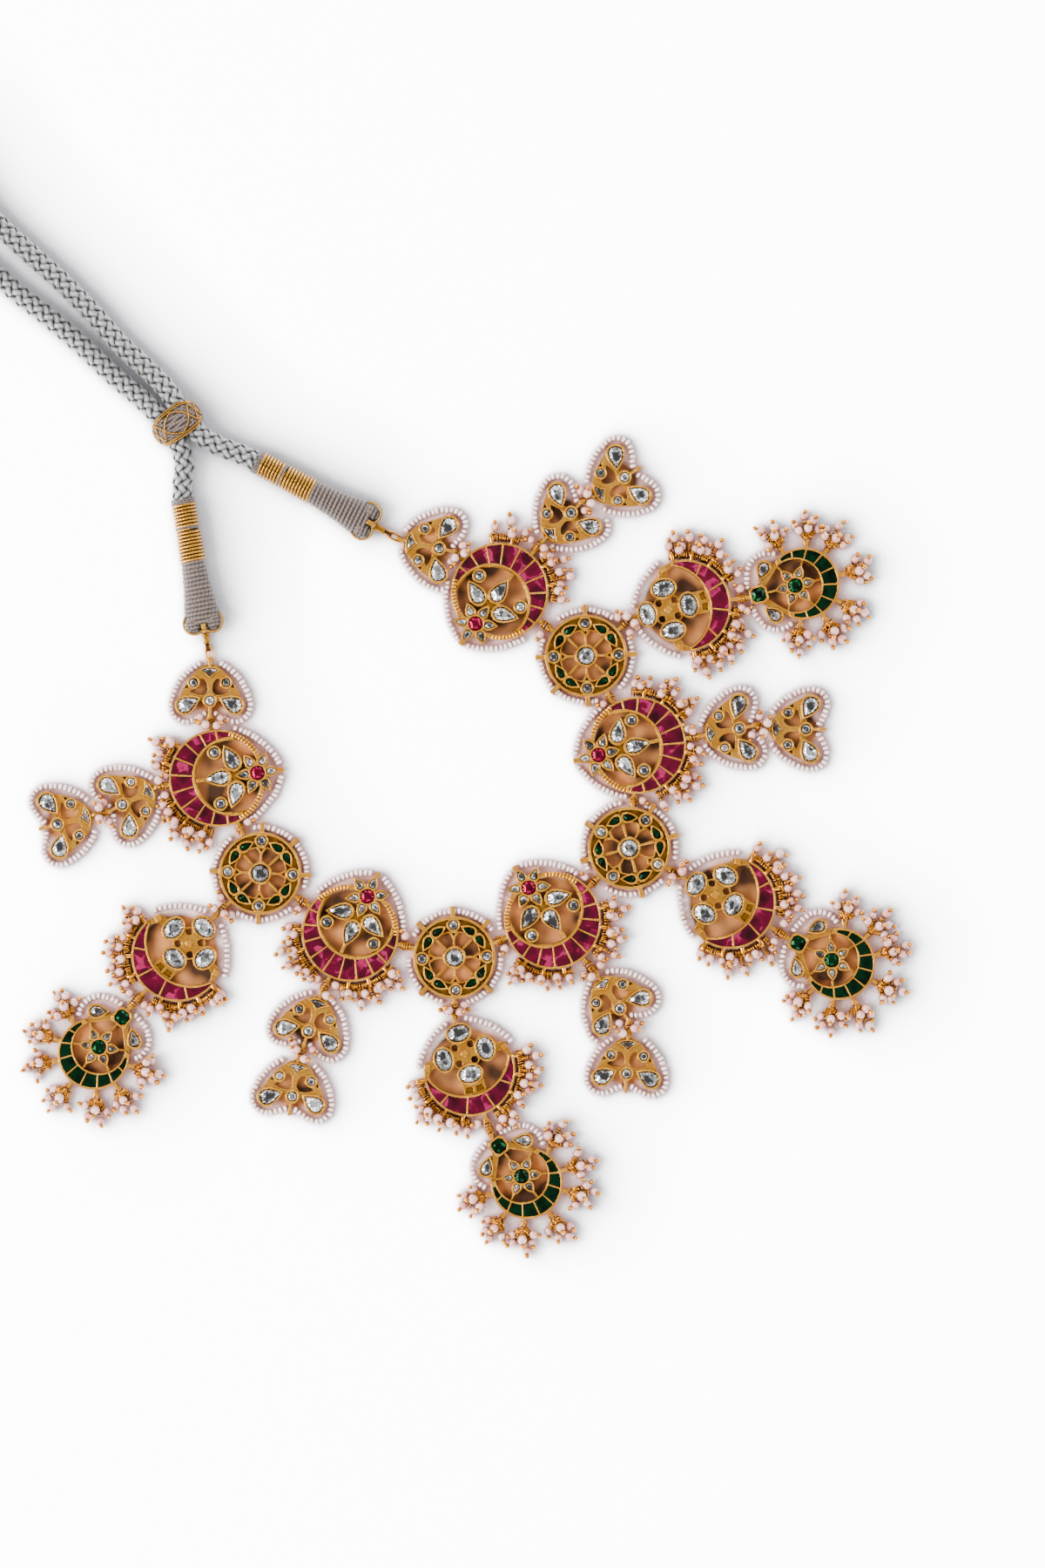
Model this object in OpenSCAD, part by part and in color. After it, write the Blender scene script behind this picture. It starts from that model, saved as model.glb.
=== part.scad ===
// Kundan necklace lying flat: a chain of leaf and wheel plates set with stones,
// hearts and pendants hung from it on jump rings, and a braided cord with a slider.
// Millimetres. Underside of every plate on z = 0, origin under the middle wheel.

/* [Plates] */
// Thickness of a plate's sheet
plate_t = 1.6; // [1.4:0.1:1.8]
// Height of the rims and bezels above the underside
wall_h = 2.8; // [2.6:0.1:3.2]
// Height of a stone's seat above the underside
seat_z = 0.9; // [0.7:0.1:1]
// Width of the wall round a stone
bezel_w = 0.55; // [0.45:0.05:0.65]

/* [Stones] */
// Clearance between a stone and its setting
stone_gap = 0.12; // [0.1:0.01:0.15]
// Height of a stone's crown above its girdle
crown_h = 0.9; // [0.6:0.1:1.2]
// Width of a stone's table as a share of its girdle
table_share = 0.5; // [0.4:0.05:0.6]

/* [Hearts] */
// Width of a heart across its lobes
heart_w = 19; // [18:0.5:20]
// Length of a heart from its middle stone to its tip
heart_l = 10.6; // [10:0.2:11.2]
// Length of a heart's drop stone
heart_drop_l = 6.2; // [5.8:0.1:6.6]
// Width of a heart's drop stone
heart_drop_w = 4.3; // [4:0.1:4.5]
// Diameter of a heart's middle stone
heart_round_d = 2.7; // [2.4:0.1:2.9]
// Diameter of a heart's two small stones
heart_dot_d = 2.3; // [2:0.1:2.4]
// Length of the lug in a heart's notch
heart_lug_l = 4.6; // [4.4:0.1:4.8]

/* [Leaves] */
// Outer radius of a leaf's disc
leaf_r = 13.9; // [13.5:0.1:14.3]
// Width of the rim above a leaf's horns
leaf_rim = 1.4; // [1.2:0.1:1.6]
// Length of a leaf's drop stone
leaf_drop_l = 6.6; // [6.2:0.1:6.8]
// Width of a leaf's drop stone
leaf_drop_w = 3.9; // [3.6:0.1:4.1]
// Diameter of a leaf's red flower stone
leaf_ruby_d = 4; // [3.7:0.1:4.2]
// Number of red panes along a leaf's crescent
leaf_panes = 11; // [9:2:11]

/* [Wheels] */
// Outer radius of a wheel
wheel_r = 11.8; // [11.5:0.1:12.1]
// Width of a wheel's rim
wheel_rim = 0.75; // [0.65:0.05:0.85]
// Diameter of a wheel's middle stone
wheel_stone_d = 5; // [4.6:0.1:5.4]
// Diameter of a wheel's four small round stones
wheel_dot_d = 2.6; // [2.4:0.1:2.8]
// Width of a wheel's straight spokes
spoke_w = 0.6; // [0.5:0.05:0.7]

/* [Fans] */
// Outer radius of a fan's crescent
fan_r = 13.2; // [12.9:0.1:13.5]
// Length of a fan's oval stone
fan_oval_l = 6.4; // [6.1:0.1:6.6]
// Width of a fan's oval stone
fan_oval_w = 4.8; // [4.5:0.1:5]
// Distance from a fan's boss to the middle of an oval stone
fan_oval_r = 6.2; // [6:0.1:6.4]
// Number of red panes along a fan's crescent
fan_panes = 5; // [5:2:7]

/* [Green pendants] */
// Outer radius of a green pendant's ring
pendant_r = 10.3; // [10:0.1:10.6]
// Diameter of a green pendant's flower stone
pendant_stone_d = 4; // [3.7:0.1:4.2]
// Side of a green pendant's head stone
head_stone_w = 3.8; // [3.5:0.1:4]
// Length of a green pendant's ear stone
ear_l = 4.8; // [4.5:0.1:5]
// Width of a green pendant's ear stone
ear_w = 3.1; // [2.9:0.1:3.3]
// Number of green panes round a pendant's ring
pendant_panes = 9; // [7:2:9]

/* [Links] */
// Diameter of the jump rings' wire
ring_wire = 0.7; // [0.6:0.05:0.75]
// Distance of a lug's hole from the rim that it stands on
lug_out = 0.9; // [0.8:0.05:1]
// Width of a lug
lug_w = 1; // [0.9:0.05:1.1]
// Metal left between a lug's hole and its end
lug_wall = 0.35; // [0.3:0.01:0.4]
// Clearance of a jump ring in a lug's hole, all round
ring_gap = 0.3; // [0.25:0.01:0.35]

/* [Beads and pearls] */
// Diameter of the strings of seed beads
bead_d = 1.8; // [1.6:0.1:1.9]
// Diameter of a pearl in the fringes
pearl_d = 3; // [2.8:0.1:3.1]
// Clearance between a bead string or fringe and the plate beside it
trim_gap = 0.3; // [0.2:0.05:0.4]

/* [Cord] */
// Diameter of the braided cord
cord_d = 6; // [5.8:0.1:6.1]
// Length of the slider along the cord
slider_l = 9.5; // [8:0.5:11]
// Thickness of the slider's wall
slider_wall = 1.1; // [0.9:0.1:1.3]
// Thickness of the gold bands round the cord
band_t = 0.5; // [0.4:0.1:0.6]
// Length of the thread wrapping at each cord end
wrap_l = 20.5; // [19:0.5:22]
// Width of the thread wrapping at its wide end
wrap_w = 11; // [10:0.5:12]

/* [Hidden] */
$fn = 48;
CORD_SIDES = 10;
WALL_SIDES = 16;
LEAF_SIDES = 10;
STONE_SIDES = 12;

function polar(r, a) = [r * cos(a), r * sin(a)];
function turned(p, a) = [p[0] * cos(a) - p[1] * sin(a), p[0] * sin(a) + p[1] * cos(a)];
function spot(place, p) = [place[0], place[1]] + turned(p, place[2]);
function centre(place) = [place[0], place[1]];
function heading(a, b) = atan2(b[1] - a[1], b[0] - a[0]);
function step(from, way, reach) = from + polar(reach, way);
function towards(from, to, reach) = step(from, heading(from, to), reach);

// A piece whose own +Y points along way
function facing(at, way) = [at[0], at[1], way - 90];

// Places, worked out along the chain from the middle wheel. Columns of each table:
// [direction to the next plate, gap between the two rims, way that the next plate faces]
RIGHT_CHAIN = [
    [20.7, 4.4, 126],    // wheel 3 to leaf 3
    [43.3, 4.5, -30],    // leaf 3 to wheel 2
    [85.3, 3.9, 194],    // wheel 2 to leaf 2
    [120, 3.9, 2],       // leaf 2 to wheel 1
    [143.2, 5.2, -127],  // wheel 1 to leaf 1
];
LEFT_CHAIN = [
    [166.8, 5, 65],      // wheel 3 to leaf 4
    [146.4, 5.3, -2.5],  // leaf 4 to wheel 4
    [114.2, 4.2, 7.5],   // wheel 4 to leaf 5
];
plate_reach = wheel_r + leaf_r;
function along(table, from, last) = last < 0 ? from
    : step(along(table, from, last - 1), table[last][0], plate_reach + table[last][1]);
function chain_leaf(table, k) = facing(along(table, [0, 0], k), table[k][2]);
function chain_wheel(table, k) =
    let (at = along(table, [0, 0], k)) [at[0], at[1], table[k][2]];

WHEELS = [
    chain_wheel(RIGHT_CHAIN, 3), chain_wheel(RIGHT_CHAIN, 1), [0, 0, 2], chain_wheel(LEFT_CHAIN, 1),
];
LEAVES = [
    chain_leaf(RIGHT_CHAIN, 4), chain_leaf(RIGHT_CHAIN, 2), chain_leaf(RIGHT_CHAIN, 0),
    chain_leaf(LEFT_CHAIN, 0), chain_leaf(LEFT_CHAIN, 2),
];

// Fans: [direction from the wheel, gap from rim to lug hole, way faced]
FAN_STEPS = [[29.4, 4.6, 193], [-28.4, 5.5, 151], [-84, 5.3, 106], [-135.4, 6.1, 46.5]];
// Green pendants: [direction from the fan's crescent, gap between the lug holes, way faced]
PENDANT_STEPS = [[10.3, 2.9, 194], [-29.4, 4.2, 153], [-63.7, 4.6, 127], [-130.7, 5.3, 52]];
// Hearts below a leaf: [direction from the leaf, gap from rim to tip, way faced] for both hearts
HEART_STEPS = [
    [[47.8, 5.9, 45], [33.5, 2.3, 32]],
    [[9.4, 5, 11], [-0.5, 3, -1]],
    [[-52.7, 7.2, -55], [-84.1, 2.7, -93]],
    [[-113, 6.1, -109], [-104.1, 3.1, -100]],
    [[195.6, 3.8, 207], [196.8, 3.3, 195]],
];
// End hearts: [direction from the leaf, gap from rim to notch lug, way faced]
END_HEART_STEPS = [[144.8, 2.8, -12.6], [95.6, 3.8, -90]];

crescent_drop = 0.367 * fan_r;
fan_lug_y = fan_oval_r + fan_oval_w / 2 + bezel_w + stone_gap + 1.4;
FANS = [for (i = [0:3]) let (s = FAN_STEPS[i])
    facing(step(centre(WHEELS[i]), s[0], wheel_r + fan_lug_y + s[1]), s[2])];
function crescent(i) = spot(FANS[i], [0, -crescent_drop]);

head_y = 1.05 * pendant_r;
head_lug_y = head_y + head_stone_w / 2 + bezel_w + stone_gap + lug_out;
PENDANTS = [for (i = [0:3]) let (s = PENDANT_STEPS[i])
    facing(step(crescent(i), s[0], fan_r + 2 * lug_out + s[1] + head_lug_y), s[2])];

tip_lug_y = -heart_l - lug_out;
HEARTS_A = [for (i = [0:4]) let (s = HEART_STEPS[i][0])
    facing(step(centre(LEAVES[i]), s[0], leaf_r + s[1] + heart_l), s[2])];
HEARTS_B = [for (i = [0:4]) let (s = HEART_STEPS[i][1])
    facing(step(centre(HEARTS_A[i]), s[0], heart_lug_l + s[1] - tip_lug_y), s[2])];
END_HEARTS = [for (i = [0:1]) let (s = END_HEART_STEPS[i])
    facing(step(centre(LEAVES[i == 0 ? 0 : 4]), s[0], leaf_r + s[1] + heart_lug_l), s[2])];
HEARTS = concat(HEARTS_A, HEARTS_B, END_HEARTS);

// Lug holes. Each link is [hole in one plate, hole in the other]
function wheel_eye(i, to) = towards(centre(WHEELS[i]), to, wheel_r + lug_out);
function leaf_eye(i, to) = towards(centre(LEAVES[i]), to, leaf_r + lug_out);
function tip_eye(place) = spot(place, [0, tip_lug_y]);
function notch_eye(place) = spot(place, [0, heart_lug_l]);
function fan_eye(i) = spot(FANS[i], [0, fan_lug_y]);
function head_eye(i) = spot(PENDANTS[i], [0, head_lug_y]);
function crescent_eye(i) = towards(crescent(i), head_eye(i), fan_r + 2 * lug_out);

// Pairs of leaf and wheel that a ring joins
LEAF_WHEEL = [[0, 0], [1, 0], [1, 1], [2, 1], [2, 2], [3, 2], [3, 3], [4, 3]];
LEAF_WHEEL_LINKS = [for (l = LEAF_WHEEL)
    [leaf_eye(l[0], centre(WHEELS[l[1]])), wheel_eye(l[1], centre(LEAVES[l[0]]))]];
LEAF_HEART_LINKS = [for (i = [0:4])
    let (t = tip_eye(HEARTS_A[i])) [leaf_eye(i, t), t]];
HEART_HEART_LINKS = [for (i = [0:4]) [notch_eye(HEARTS_A[i]), tip_eye(HEARTS_B[i])]];
END_HEART_LINKS = [for (i = [0:1])
    let (n = notch_eye(END_HEARTS[i])) [n, leaf_eye(i == 0 ? 0 : 4, n)]];
WHEEL_FAN_LINKS = [for (i = [0:3]) [wheel_eye(i, fan_eye(i)), fan_eye(i)]];
FAN_PENDANT_LINKS = [for (i = [0:3]) [crescent_eye(i), head_eye(i)]];

// Way from each end heart to its cord, and the ring that joins them
TIE_WAYS = [151.5, 99.5];
end_ring_d = 4;
TIE_LINKS = [for (i = [0:1])
    let (t = tip_eye(END_HEARTS[i])) [t, step(t, TIE_WAYS[i], end_ring_d)]];
LINKS = concat(LEAF_WHEEL_LINKS, LEAF_HEART_LINKS, HEART_HEART_LINKS, END_HEART_LINKS,
    WHEEL_FAN_LINKS, FAN_PENDANT_LINKS, TIE_LINKS);
ring_z = plate_t;
lug_hole_r = ring_wire / 2 + ring_gap;
lug_end = lug_hole_r + lug_wall;

// Heart, right half. Shares of [half the width, length to the tip]
HEART_SIDE = [[0, -1], [0.19, -0.955], [0.36, -0.85], [0.53, -0.7], [0.67, -0.52], [0.81, -0.33],
    [0.92, -0.12], [0.93, 0.08], [0.66, 0.15], [0.3, 0], [0, 0.1]];
HEART_HOLE = [[0.08, -0.25], [0.18, -0.165], [0.31, -0.155], [0.44, -0.185], [0.6, -0.245],
    [0.52, -0.305], [0.41, -0.325], [0.315, -0.385], [0.29, -0.47], [0.3, -0.565], [0.25, -0.6],
    [0.17, -0.565], [0.095, -0.465], [0.075, -0.35]];
HEART_NICK = [[0.64, -0.36], [0.76, -0.33], [0.69, -0.45]];
KITE = [[-0.26, -0.82], [-0.14, -0.875], [0, -0.895], [0.14, -0.875], [0.26, -0.82],
    [0.1, -0.735], [0, -0.645], [-0.1, -0.735]];
kite_middle = [0, -0.79];
HEART_DROP = [0.655, 0.085];
heart_drop_way = 207;
HEART_DOT = [0.49, -0.49];
function heart_spot(p) = [p[0] * heart_w / 2, p[1] * heart_l];
function heart_spots(list) = [for (p = list) heart_spot(p)];
function mirrored(list) = [for (i = [len(list) - 1:-1:0]) [-list[i][0], list[i][1]]];

// Leaf. Distances are shares of its radius
leaf_bow_y = 0.302 * leaf_r;
leaf_bow_r = 0.817 * leaf_r;
leaf_open_r = 0.741 * leaf_r;
leaf_fan_y = 0.11 * leaf_r;
leaf_pane_way = 109;
LEAF_DROPS = [[0.381, 0.324, -22], [-0.381, 0.324, 202], [0, 0, -90]];
LEAF_DOT = [0.532, 0];
leaf_dot_d = 2.7;
leaf_ruby_y = 0.835 * leaf_r;
leaf_tip_y = 1.33 * leaf_r;
leaf_tab_w = 1.3;
PETAL = [3, 2, 4.1];

// Wheel. Radii as shares of the wheel's
wheel_dot_at = 0.792 * wheel_r;
wheel_leaf_at = 0.746 * wheel_r;
WHEEL_LEAF = [3.6, 2];
wheel_hub_r = wheel_stone_d / 2 + stone_gap + bezel_w + 0.2;
wheel_well_r = 0.62 * wheel_r;

// Fan
fan_bow_y = 0.053 * fan_r;
fan_bow_r = 1.008 * fan_r;
fan_open_r = 0.955 * fan_r;
fan_pane_way = 94;
FAN_HORN = [0.87, -0.076];
FAN_ARM = [[0.9, 0.02], [0.99, -0.27], [0.92, -0.32], [0.8, -0.15]];
FAN_NICK = [[0.07, -1.86], [0.46, -1.8], [0.36, -1.52], [0.07, -1.57]];

// Green pendant
pendant_ring_y = -0.233 * pendant_r;
pendant_bow_r = 0.78 * pendant_r;
pendant_open_r = 0.73 * pendant_r;
pendant_pane_way = 106;
PENDANT_EAR = [0.625, 0.78, 38];
PENDANT_PETAL = [2.5, 1.8, 3.9];
PENDANT_LUGS = [0, 41, -41, 72, -72, 109, -109];

// Bead strings, right half, chosen by hand, in shares of each plate's own size: first point,
// way that the string sets off, then [radius, turn] of each curve
HEART_STRING = [[0.335, -1.12], 27, [[1.61, 56], [0.458, 120]]];
LEAF_STRING = [[0.965, 0.5], 113, [[1.49, 45]]];
FAN_STRING = [[1.03, 0.01], 117, [[1.535, 41]]];
PENDANT_STRING = [[1.013, 0.38], 61, [[0.578, 97], [1.69, 16]]];
// Degrees left off the start and the end of each heart's string, on its left side and its right
HEART_STRING_CUTS = [
    [[0, 25], [0, 45]], [[0, 25], [0, 25]], [[0, 25], [0, 85]], [[0, 25], [0, 25]], [[0, 25], [0, 25]],
    [[7, 0], [7, 0]], [[7, 0], [7, 0]], [[7, 0], [7, 0]], [[7, 0], [7, 0]], [[7, 0], [7, 0]],
    [[0, 0], [0, 90]], [[0, 0], [0, 0]],
];

// Fringes: how far each reaches from the foot of its plate, in degrees, left and right
LEAF_FRINGES = [[66, 48], [84, 84], [80, 76], [76, 78], [50, 80]];
fringe_start = 25;
fan_fringe_start = 22;
fan_fringe_end = 97;

// The cord's route, from the left wrapping round to the right one
slider_at = [-79.4, 153];
slider_way = 126;
LEFT_RISE = [[-77.9, 136, 3.8], [-77.4, 141.5, 4.1]];
RIGHT_RISE = [[-71.3, 148.6, 4.2], [-66.8, 146.2, 4.1], [-61.6, 144.3, 3.8]];
strand_half = cord_d / 2 + 0.1;
CORD_FREE = [
    [-82.8, 163.2, 3.8], [-88.5, 169, 3.2], [-96, 176, 3.1], [-104, 185, 3.1], [-113, 194, 3.1],
    [-122, 202, 3.1], [-129, 208.5, 3.1], [-135, 215, 3.1], [-140.5, 223.5, 3.1], [-145.5, 233, 3.1],
    [-152, 241, 3.1], [-161, 246, 3.1], [-170, 246, 3.1], [-176.5, 242, 3.1], [-179, 235, 3.1],
    [-178, 226, 3.1], [-172, 218, 3.1], [-163, 213, 3.1], [-153, 209, 3.1], [-143.5, 205, 3.1],
    [-135, 199, 3.1], [-126, 191, 3.1], [-117, 184, 3.1], [-107, 175.5, 3.1], [-98, 167, 3.1],
    [-89.7, 160, 3.4],
];

// Stone outlines, each round its own middle, long side along X and a drop's point at +X
function oval(l, w, n) = [for (k = [0:n - 1]) let (a = 360 * k / n) [l / 2 * cos(a), w / 2 * sin(a)]];
function drop(l, w, n) = [for (k = [0:n - 1])
    let (a = 360 * k / n) [l / 2 * cos(a), w / 1.54 * sin(a) * sin(a / 2)]];
function squircle(w) = let (h = w / 2, c = w / 2 - 0.9)
    [[h, -c], [h, c], [c, h], [-c, h], [-h, c], [-h, -c], [-c, -h], [c, -h]];

// Distance from [0, from_y] to a circle round [0, mid_y], at a degrees from -Y
function ray(a, from_y, mid_y, r) = let (d = from_y - mid_y) d * cos(a) + sqrt(r * r - pow(d * sin(a), 2));
function ray_spot(a, from_y, mid_y, r) =
    let (t = ray(a, from_y, mid_y, r)) [t * sin(a), from_y - t * cos(a)];
// Outline between two circles and two rays
function pane(a, b, from_y, out_y, out_r, in_y, in_r, n) = concat(
    [for (k = [0:n]) ray_spot(a + (b - a) * k / n, from_y, out_y, out_r)],
    [for (k = [n:-1:0]) ray_spot(a + (b - a) * k / n, from_y, in_y, in_r)]);
function sector(r0, r1, a, b, n) = concat(
    [for (k = [0:n]) polar(r1, a + (b - a) * k / n)],
    [for (k = [n:-1:0]) polar(r0, a + (b - a) * k / n)]);

// Smooth curve through chosen points
function blend(a, b, c, d, t) = 0.5 * (2 * b + (c - a) * t + (2 * a - 5 * b + 4 * c - d) * t * t
    + (3 * b - a - 3 * c + d) * t * t * t);
function closed_curve(p, n) = let (m = len(p)) [for (i = [0:m - 1]) for (k = [0:n - 1])
    blend(p[(i + m - 1) % m], p[i], p[(i + 1) % m], p[(i + 2) % m], k / n)];

module put(place) translate([place[0], place[1], 0]) rotate(place[2]) children();
module both_sides() {
    children();
    mirror([1, 0, 0]) children();
}

// A wall round a stone, as a filled outline
module drop_wall(l, w, grow, sides = WALL_SIDES) polygon(drop(l + 2.6 * grow, w + 2 * grow, sides));
module oval_wall(l, w, grow) polygon(oval(l + 2 * grow, w + 2 * grow, 20));

// A lug across a jump ring, with its hole cut by lug_hole
module lug(eye, to, root) {
    translate([eye[0], eye[1], ring_z]) rotate(heading(eye, to))
        translate([-root, -lug_w / 2, -lug_end]) cube([root + lug_end, lug_w, 2 * lug_end]);
}
module lug_hole(eye, to) {
    translate([eye[0], eye[1], ring_z]) rotate(heading(eye, to)) rotate([90, 0, 0])
        cylinder(h = lug_w + 1.2, r = lug_hole_r, center = true, $fn = 24);
}
// A bar along Y under a lug, a little slimmer than it
stem_w = lug_w - 0.2;
module stem(from, to) translate([-stem_w / 2, from, ring_z - lug_end + 0.1])
    cube([stem_w, to - from, 2 * lug_end - 0.2]);
module plate_with_lugs(place, eyes, root) {
    difference() {
        union() {
            put(place) children();
            for (e = eyes) lug(e[0], e[1], len(e) > 2 ? e[2] : root);
        }
        for (e = eyes) lug_hole(e[0], e[1]);
    }
}

// A stone with a flat back, an upright girdle, facets and a table
stone_z = seat_z + stone_gap;
girdle_top = wall_h - 0.25;
module cut_stone(outline) {
    n = len(outline);
    top = girdle_top + crown_h;
    points = concat(
        [for (p = outline) [p[0], p[1], stone_z]],
        [for (p = outline) [p[0], p[1], girdle_top]],
        [for (p = outline) [p[0] * table_share, p[1] * table_share, top]]);
    polyhedron(points, concat(
        [[for (k = [0:n - 1]) k]],
        [[for (k = [n - 1:-1:0]) 2 * n + k]],
        [for (s = [0:1]) for (k = [0:n - 1])
            [s * n + k, (s + 1) * n + k, (s + 1) * n + (k + 1) % n, s * n + (k + 1) % n]]));
}

// A round tube swept along points, with flat ends
function unit(v) = v / norm(v);
function along_at(p, i) = unit(p[min(i + 1, len(p) - 1)] - p[max(i - 1, 0)]);
function across(t) = unit([-t[1], t[0], 0]);
// Faces between the rings of a swept form that has m rings of n points
function swept_faces(m, n) = concat(
    [[for (k = [0:n - 1]) k]],
    [[for (k = [n - 1:-1:0]) (m - 1) * n + k]],
    [for (i = [0:m - 2]) for (k = [0:n - 1])
        let (a = i * n + k, b = i * n + (k + 1) % n) each [[a, a + n, b], [b, a + n, b + n]]]);
module tube(p, d, sides) {
    points = [for (i = [0:len(p) - 1]) let (t = along_at(p, i), u = across(t), v = cross(t, u))
        for (k = [0:sides - 1]) let (a = 360 * (k + 0.5) / sides)
            p[i] + d / 2 * (cos(a) * u + sin(a) * v)];
    polyhedron(points, swept_faces(len(p), sides));
}

string_rise = bead_d / 2 + 0.2;
// Curves of a string from a point, one after the other, with a wider bead over each joint
module bead_curves(from, way, curves, k = 0) {
    r = curves[k][0];
    turn = curves[k][1];
    mid = step(from, way + 90, r);
    next = step(mid, way - 90 + turn, r);
    translate([mid[0], mid[1], string_rise]) rotate(way - 90) rotate_extrude(angle = turn)
        translate([r, 0]) circle(r = bead_d / 2, $fn = 24);
    if (k < len(curves) - 1) {
        translate([next[0], next[1], string_rise]) rotate([0, 90, way + turn])
            cylinder(h = bead_d / 2, r = bead_d / 2 + 0.12, center = true, $fn = 24);
        bead_curves(next, way + turn, curves, k + 1);
    }
}
// A string scaled to its plate, with some degrees left off its start and its end
module bead_string(string, size, cut = [0, 0]) {
    last = len(string[2]) - 1;
    r = string[2][0][0] * size;
    mid = step(string[0] * size, string[1] + 90, r);
    bead_curves(step(mid, string[1] - 90 + cut[0], r), string[1] + cut[0], [for (k = [0:last])
        [string[2][k][0] * size, string[2][k][1] - (k == 0 ? cut[0] : 0) - (k == last ? cut[1] : 0)]]);
}

// Heart plate
module heart_walls(grow) {
    both_sides() translate(heart_spot(HEART_DROP)) rotate(heart_drop_way)
        drop_wall(heart_drop_l, heart_drop_w, stone_gap + grow);
    circle(r = heart_round_d / 2 + stone_gap + grow);
    both_sides() translate(heart_spot(HEART_DOT)) circle(r = heart_dot_d / 2 + stone_gap + grow);
}
module kite_outline(grow) {
    m = heart_spot(kite_middle);
    polygon([for (p = heart_spots(KITE)) m + (p - m) * (1 + grow)]);
}
heart_outline = let (side = heart_spots(HEART_SIDE))
    concat(side, [for (i = [len(side) - 2:-1:1]) [-side[i][0], side[i][1]]]);
module heart_body() {
    difference() {
        union() {
            linear_extrude(plate_t) difference() {
                union() {
                    polygon(heart_outline);
                    both_sides() translate(heart_spot(HEART_DROP)) rotate(heart_drop_way)
                        drop_wall(heart_drop_l, heart_drop_w, stone_gap + bezel_w);
                    circle(r = heart_round_d / 2 + stone_gap + bezel_w);
                }
                both_sides() polygon(closed_curve(heart_spots(HEART_HOLE), 2));
            }
            linear_extrude(wall_h) {
                heart_walls(bezel_w);
                kite_outline(0.3);
            }
            stem(0, heart_lug_l);
            stem(tip_lug_y, tip_lug_y + 2.6);
        }
        translate([0, 0, seat_z]) linear_extrude(wall_h) {
            heart_walls(0);
            kite_outline(0);
        }
        translate([0, 0, seat_z / 2]) linear_extrude(wall_h) both_sides() polygon(heart_spots(HEART_NICK));
    }
}
// Two lug holes for the heart numbered i, each towards the ring that it takes
function heart_eyes(i) = let (h = HEARTS[i])
    i < 5 ? [[tip_eye(h), LEAF_HEART_LINKS[i][0]], [notch_eye(h), HEART_HEART_LINKS[i][1]]]
    : i < 10 ? [[tip_eye(h), HEART_HEART_LINKS[i - 5][0]], [notch_eye(h), spot(h, [0, 2 * heart_lug_l])]]
    : [[tip_eye(h), TIE_LINKS[i - 10][1]], [notch_eye(h), END_HEART_LINKS[i - 10][1]]];
module heart(i) color("goldenrod") plate_with_lugs(HEARTS[i], heart_eyes(i), 1) heart_body();

module heart_right() heart(10);
module heart_left() heart(11);
module heart_1a() heart(0);
module heart_2a() heart(1);
module heart_3a() heart(2);
module heart_4a() heart(3);
module heart_5a() heart(4);
module heart_1b() heart(5);
module heart_2b() heart(6);
module heart_3b() heart(7);
module heart_4b() heart(8);
module heart_5b() heart(9);

module heart_drops() color("aliceblue") for (h = HEARTS) put(h) both_sides()
    translate(heart_spot(HEART_DROP)) rotate(heart_drop_way)
        cut_stone(drop(heart_drop_l, heart_drop_w, STONE_SIDES));
module heart_rounds() color("aliceblue") for (h = HEARTS) put(h)
    cut_stone(oval(heart_round_d, heart_round_d, STONE_SIDES));
module heart_kites() color("aliceblue") for (h = HEARTS) put(h) {
    m = heart_spot(kite_middle);
    translate(m) cut_stone([for (p = heart_spots(KITE)) (p - m) * (1 - stone_gap)]);
}
module heart_beads() color("mistyrose") for (i = [0:11]) put(HEARTS[i]) {
    mirror([1, 0, 0]) bead_string(HEART_STRING, heart_w / 2, HEART_STRING_CUTS[i][0]);
    bead_string(HEART_STRING, heart_w / 2, HEART_STRING_CUTS[i][1]);
}

// Leaf plate
module petals(p, mid_y, grow) {
    translate([0, mid_y]) for (k = [0:5]) rotate(90 + 60 * k) translate([p[2], 0])
        drop_wall(p[0], p[1], grow, LEAF_SIDES);
}
module leaf_walls(grow) {
    for (d = LEAF_DROPS) translate([d[0], d[1]] * leaf_r) rotate(d[2])
        drop_wall(leaf_drop_l, leaf_drop_w, stone_gap + grow);
    both_sides() translate(LEAF_DOT * leaf_r) circle(r = leaf_dot_d / 2 + stone_gap + grow);
    translate([0, leaf_ruby_y]) circle(r = leaf_ruby_d / 2 + stone_gap + grow);
    petals(PETAL, leaf_ruby_y, stone_gap + grow);
}
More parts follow.
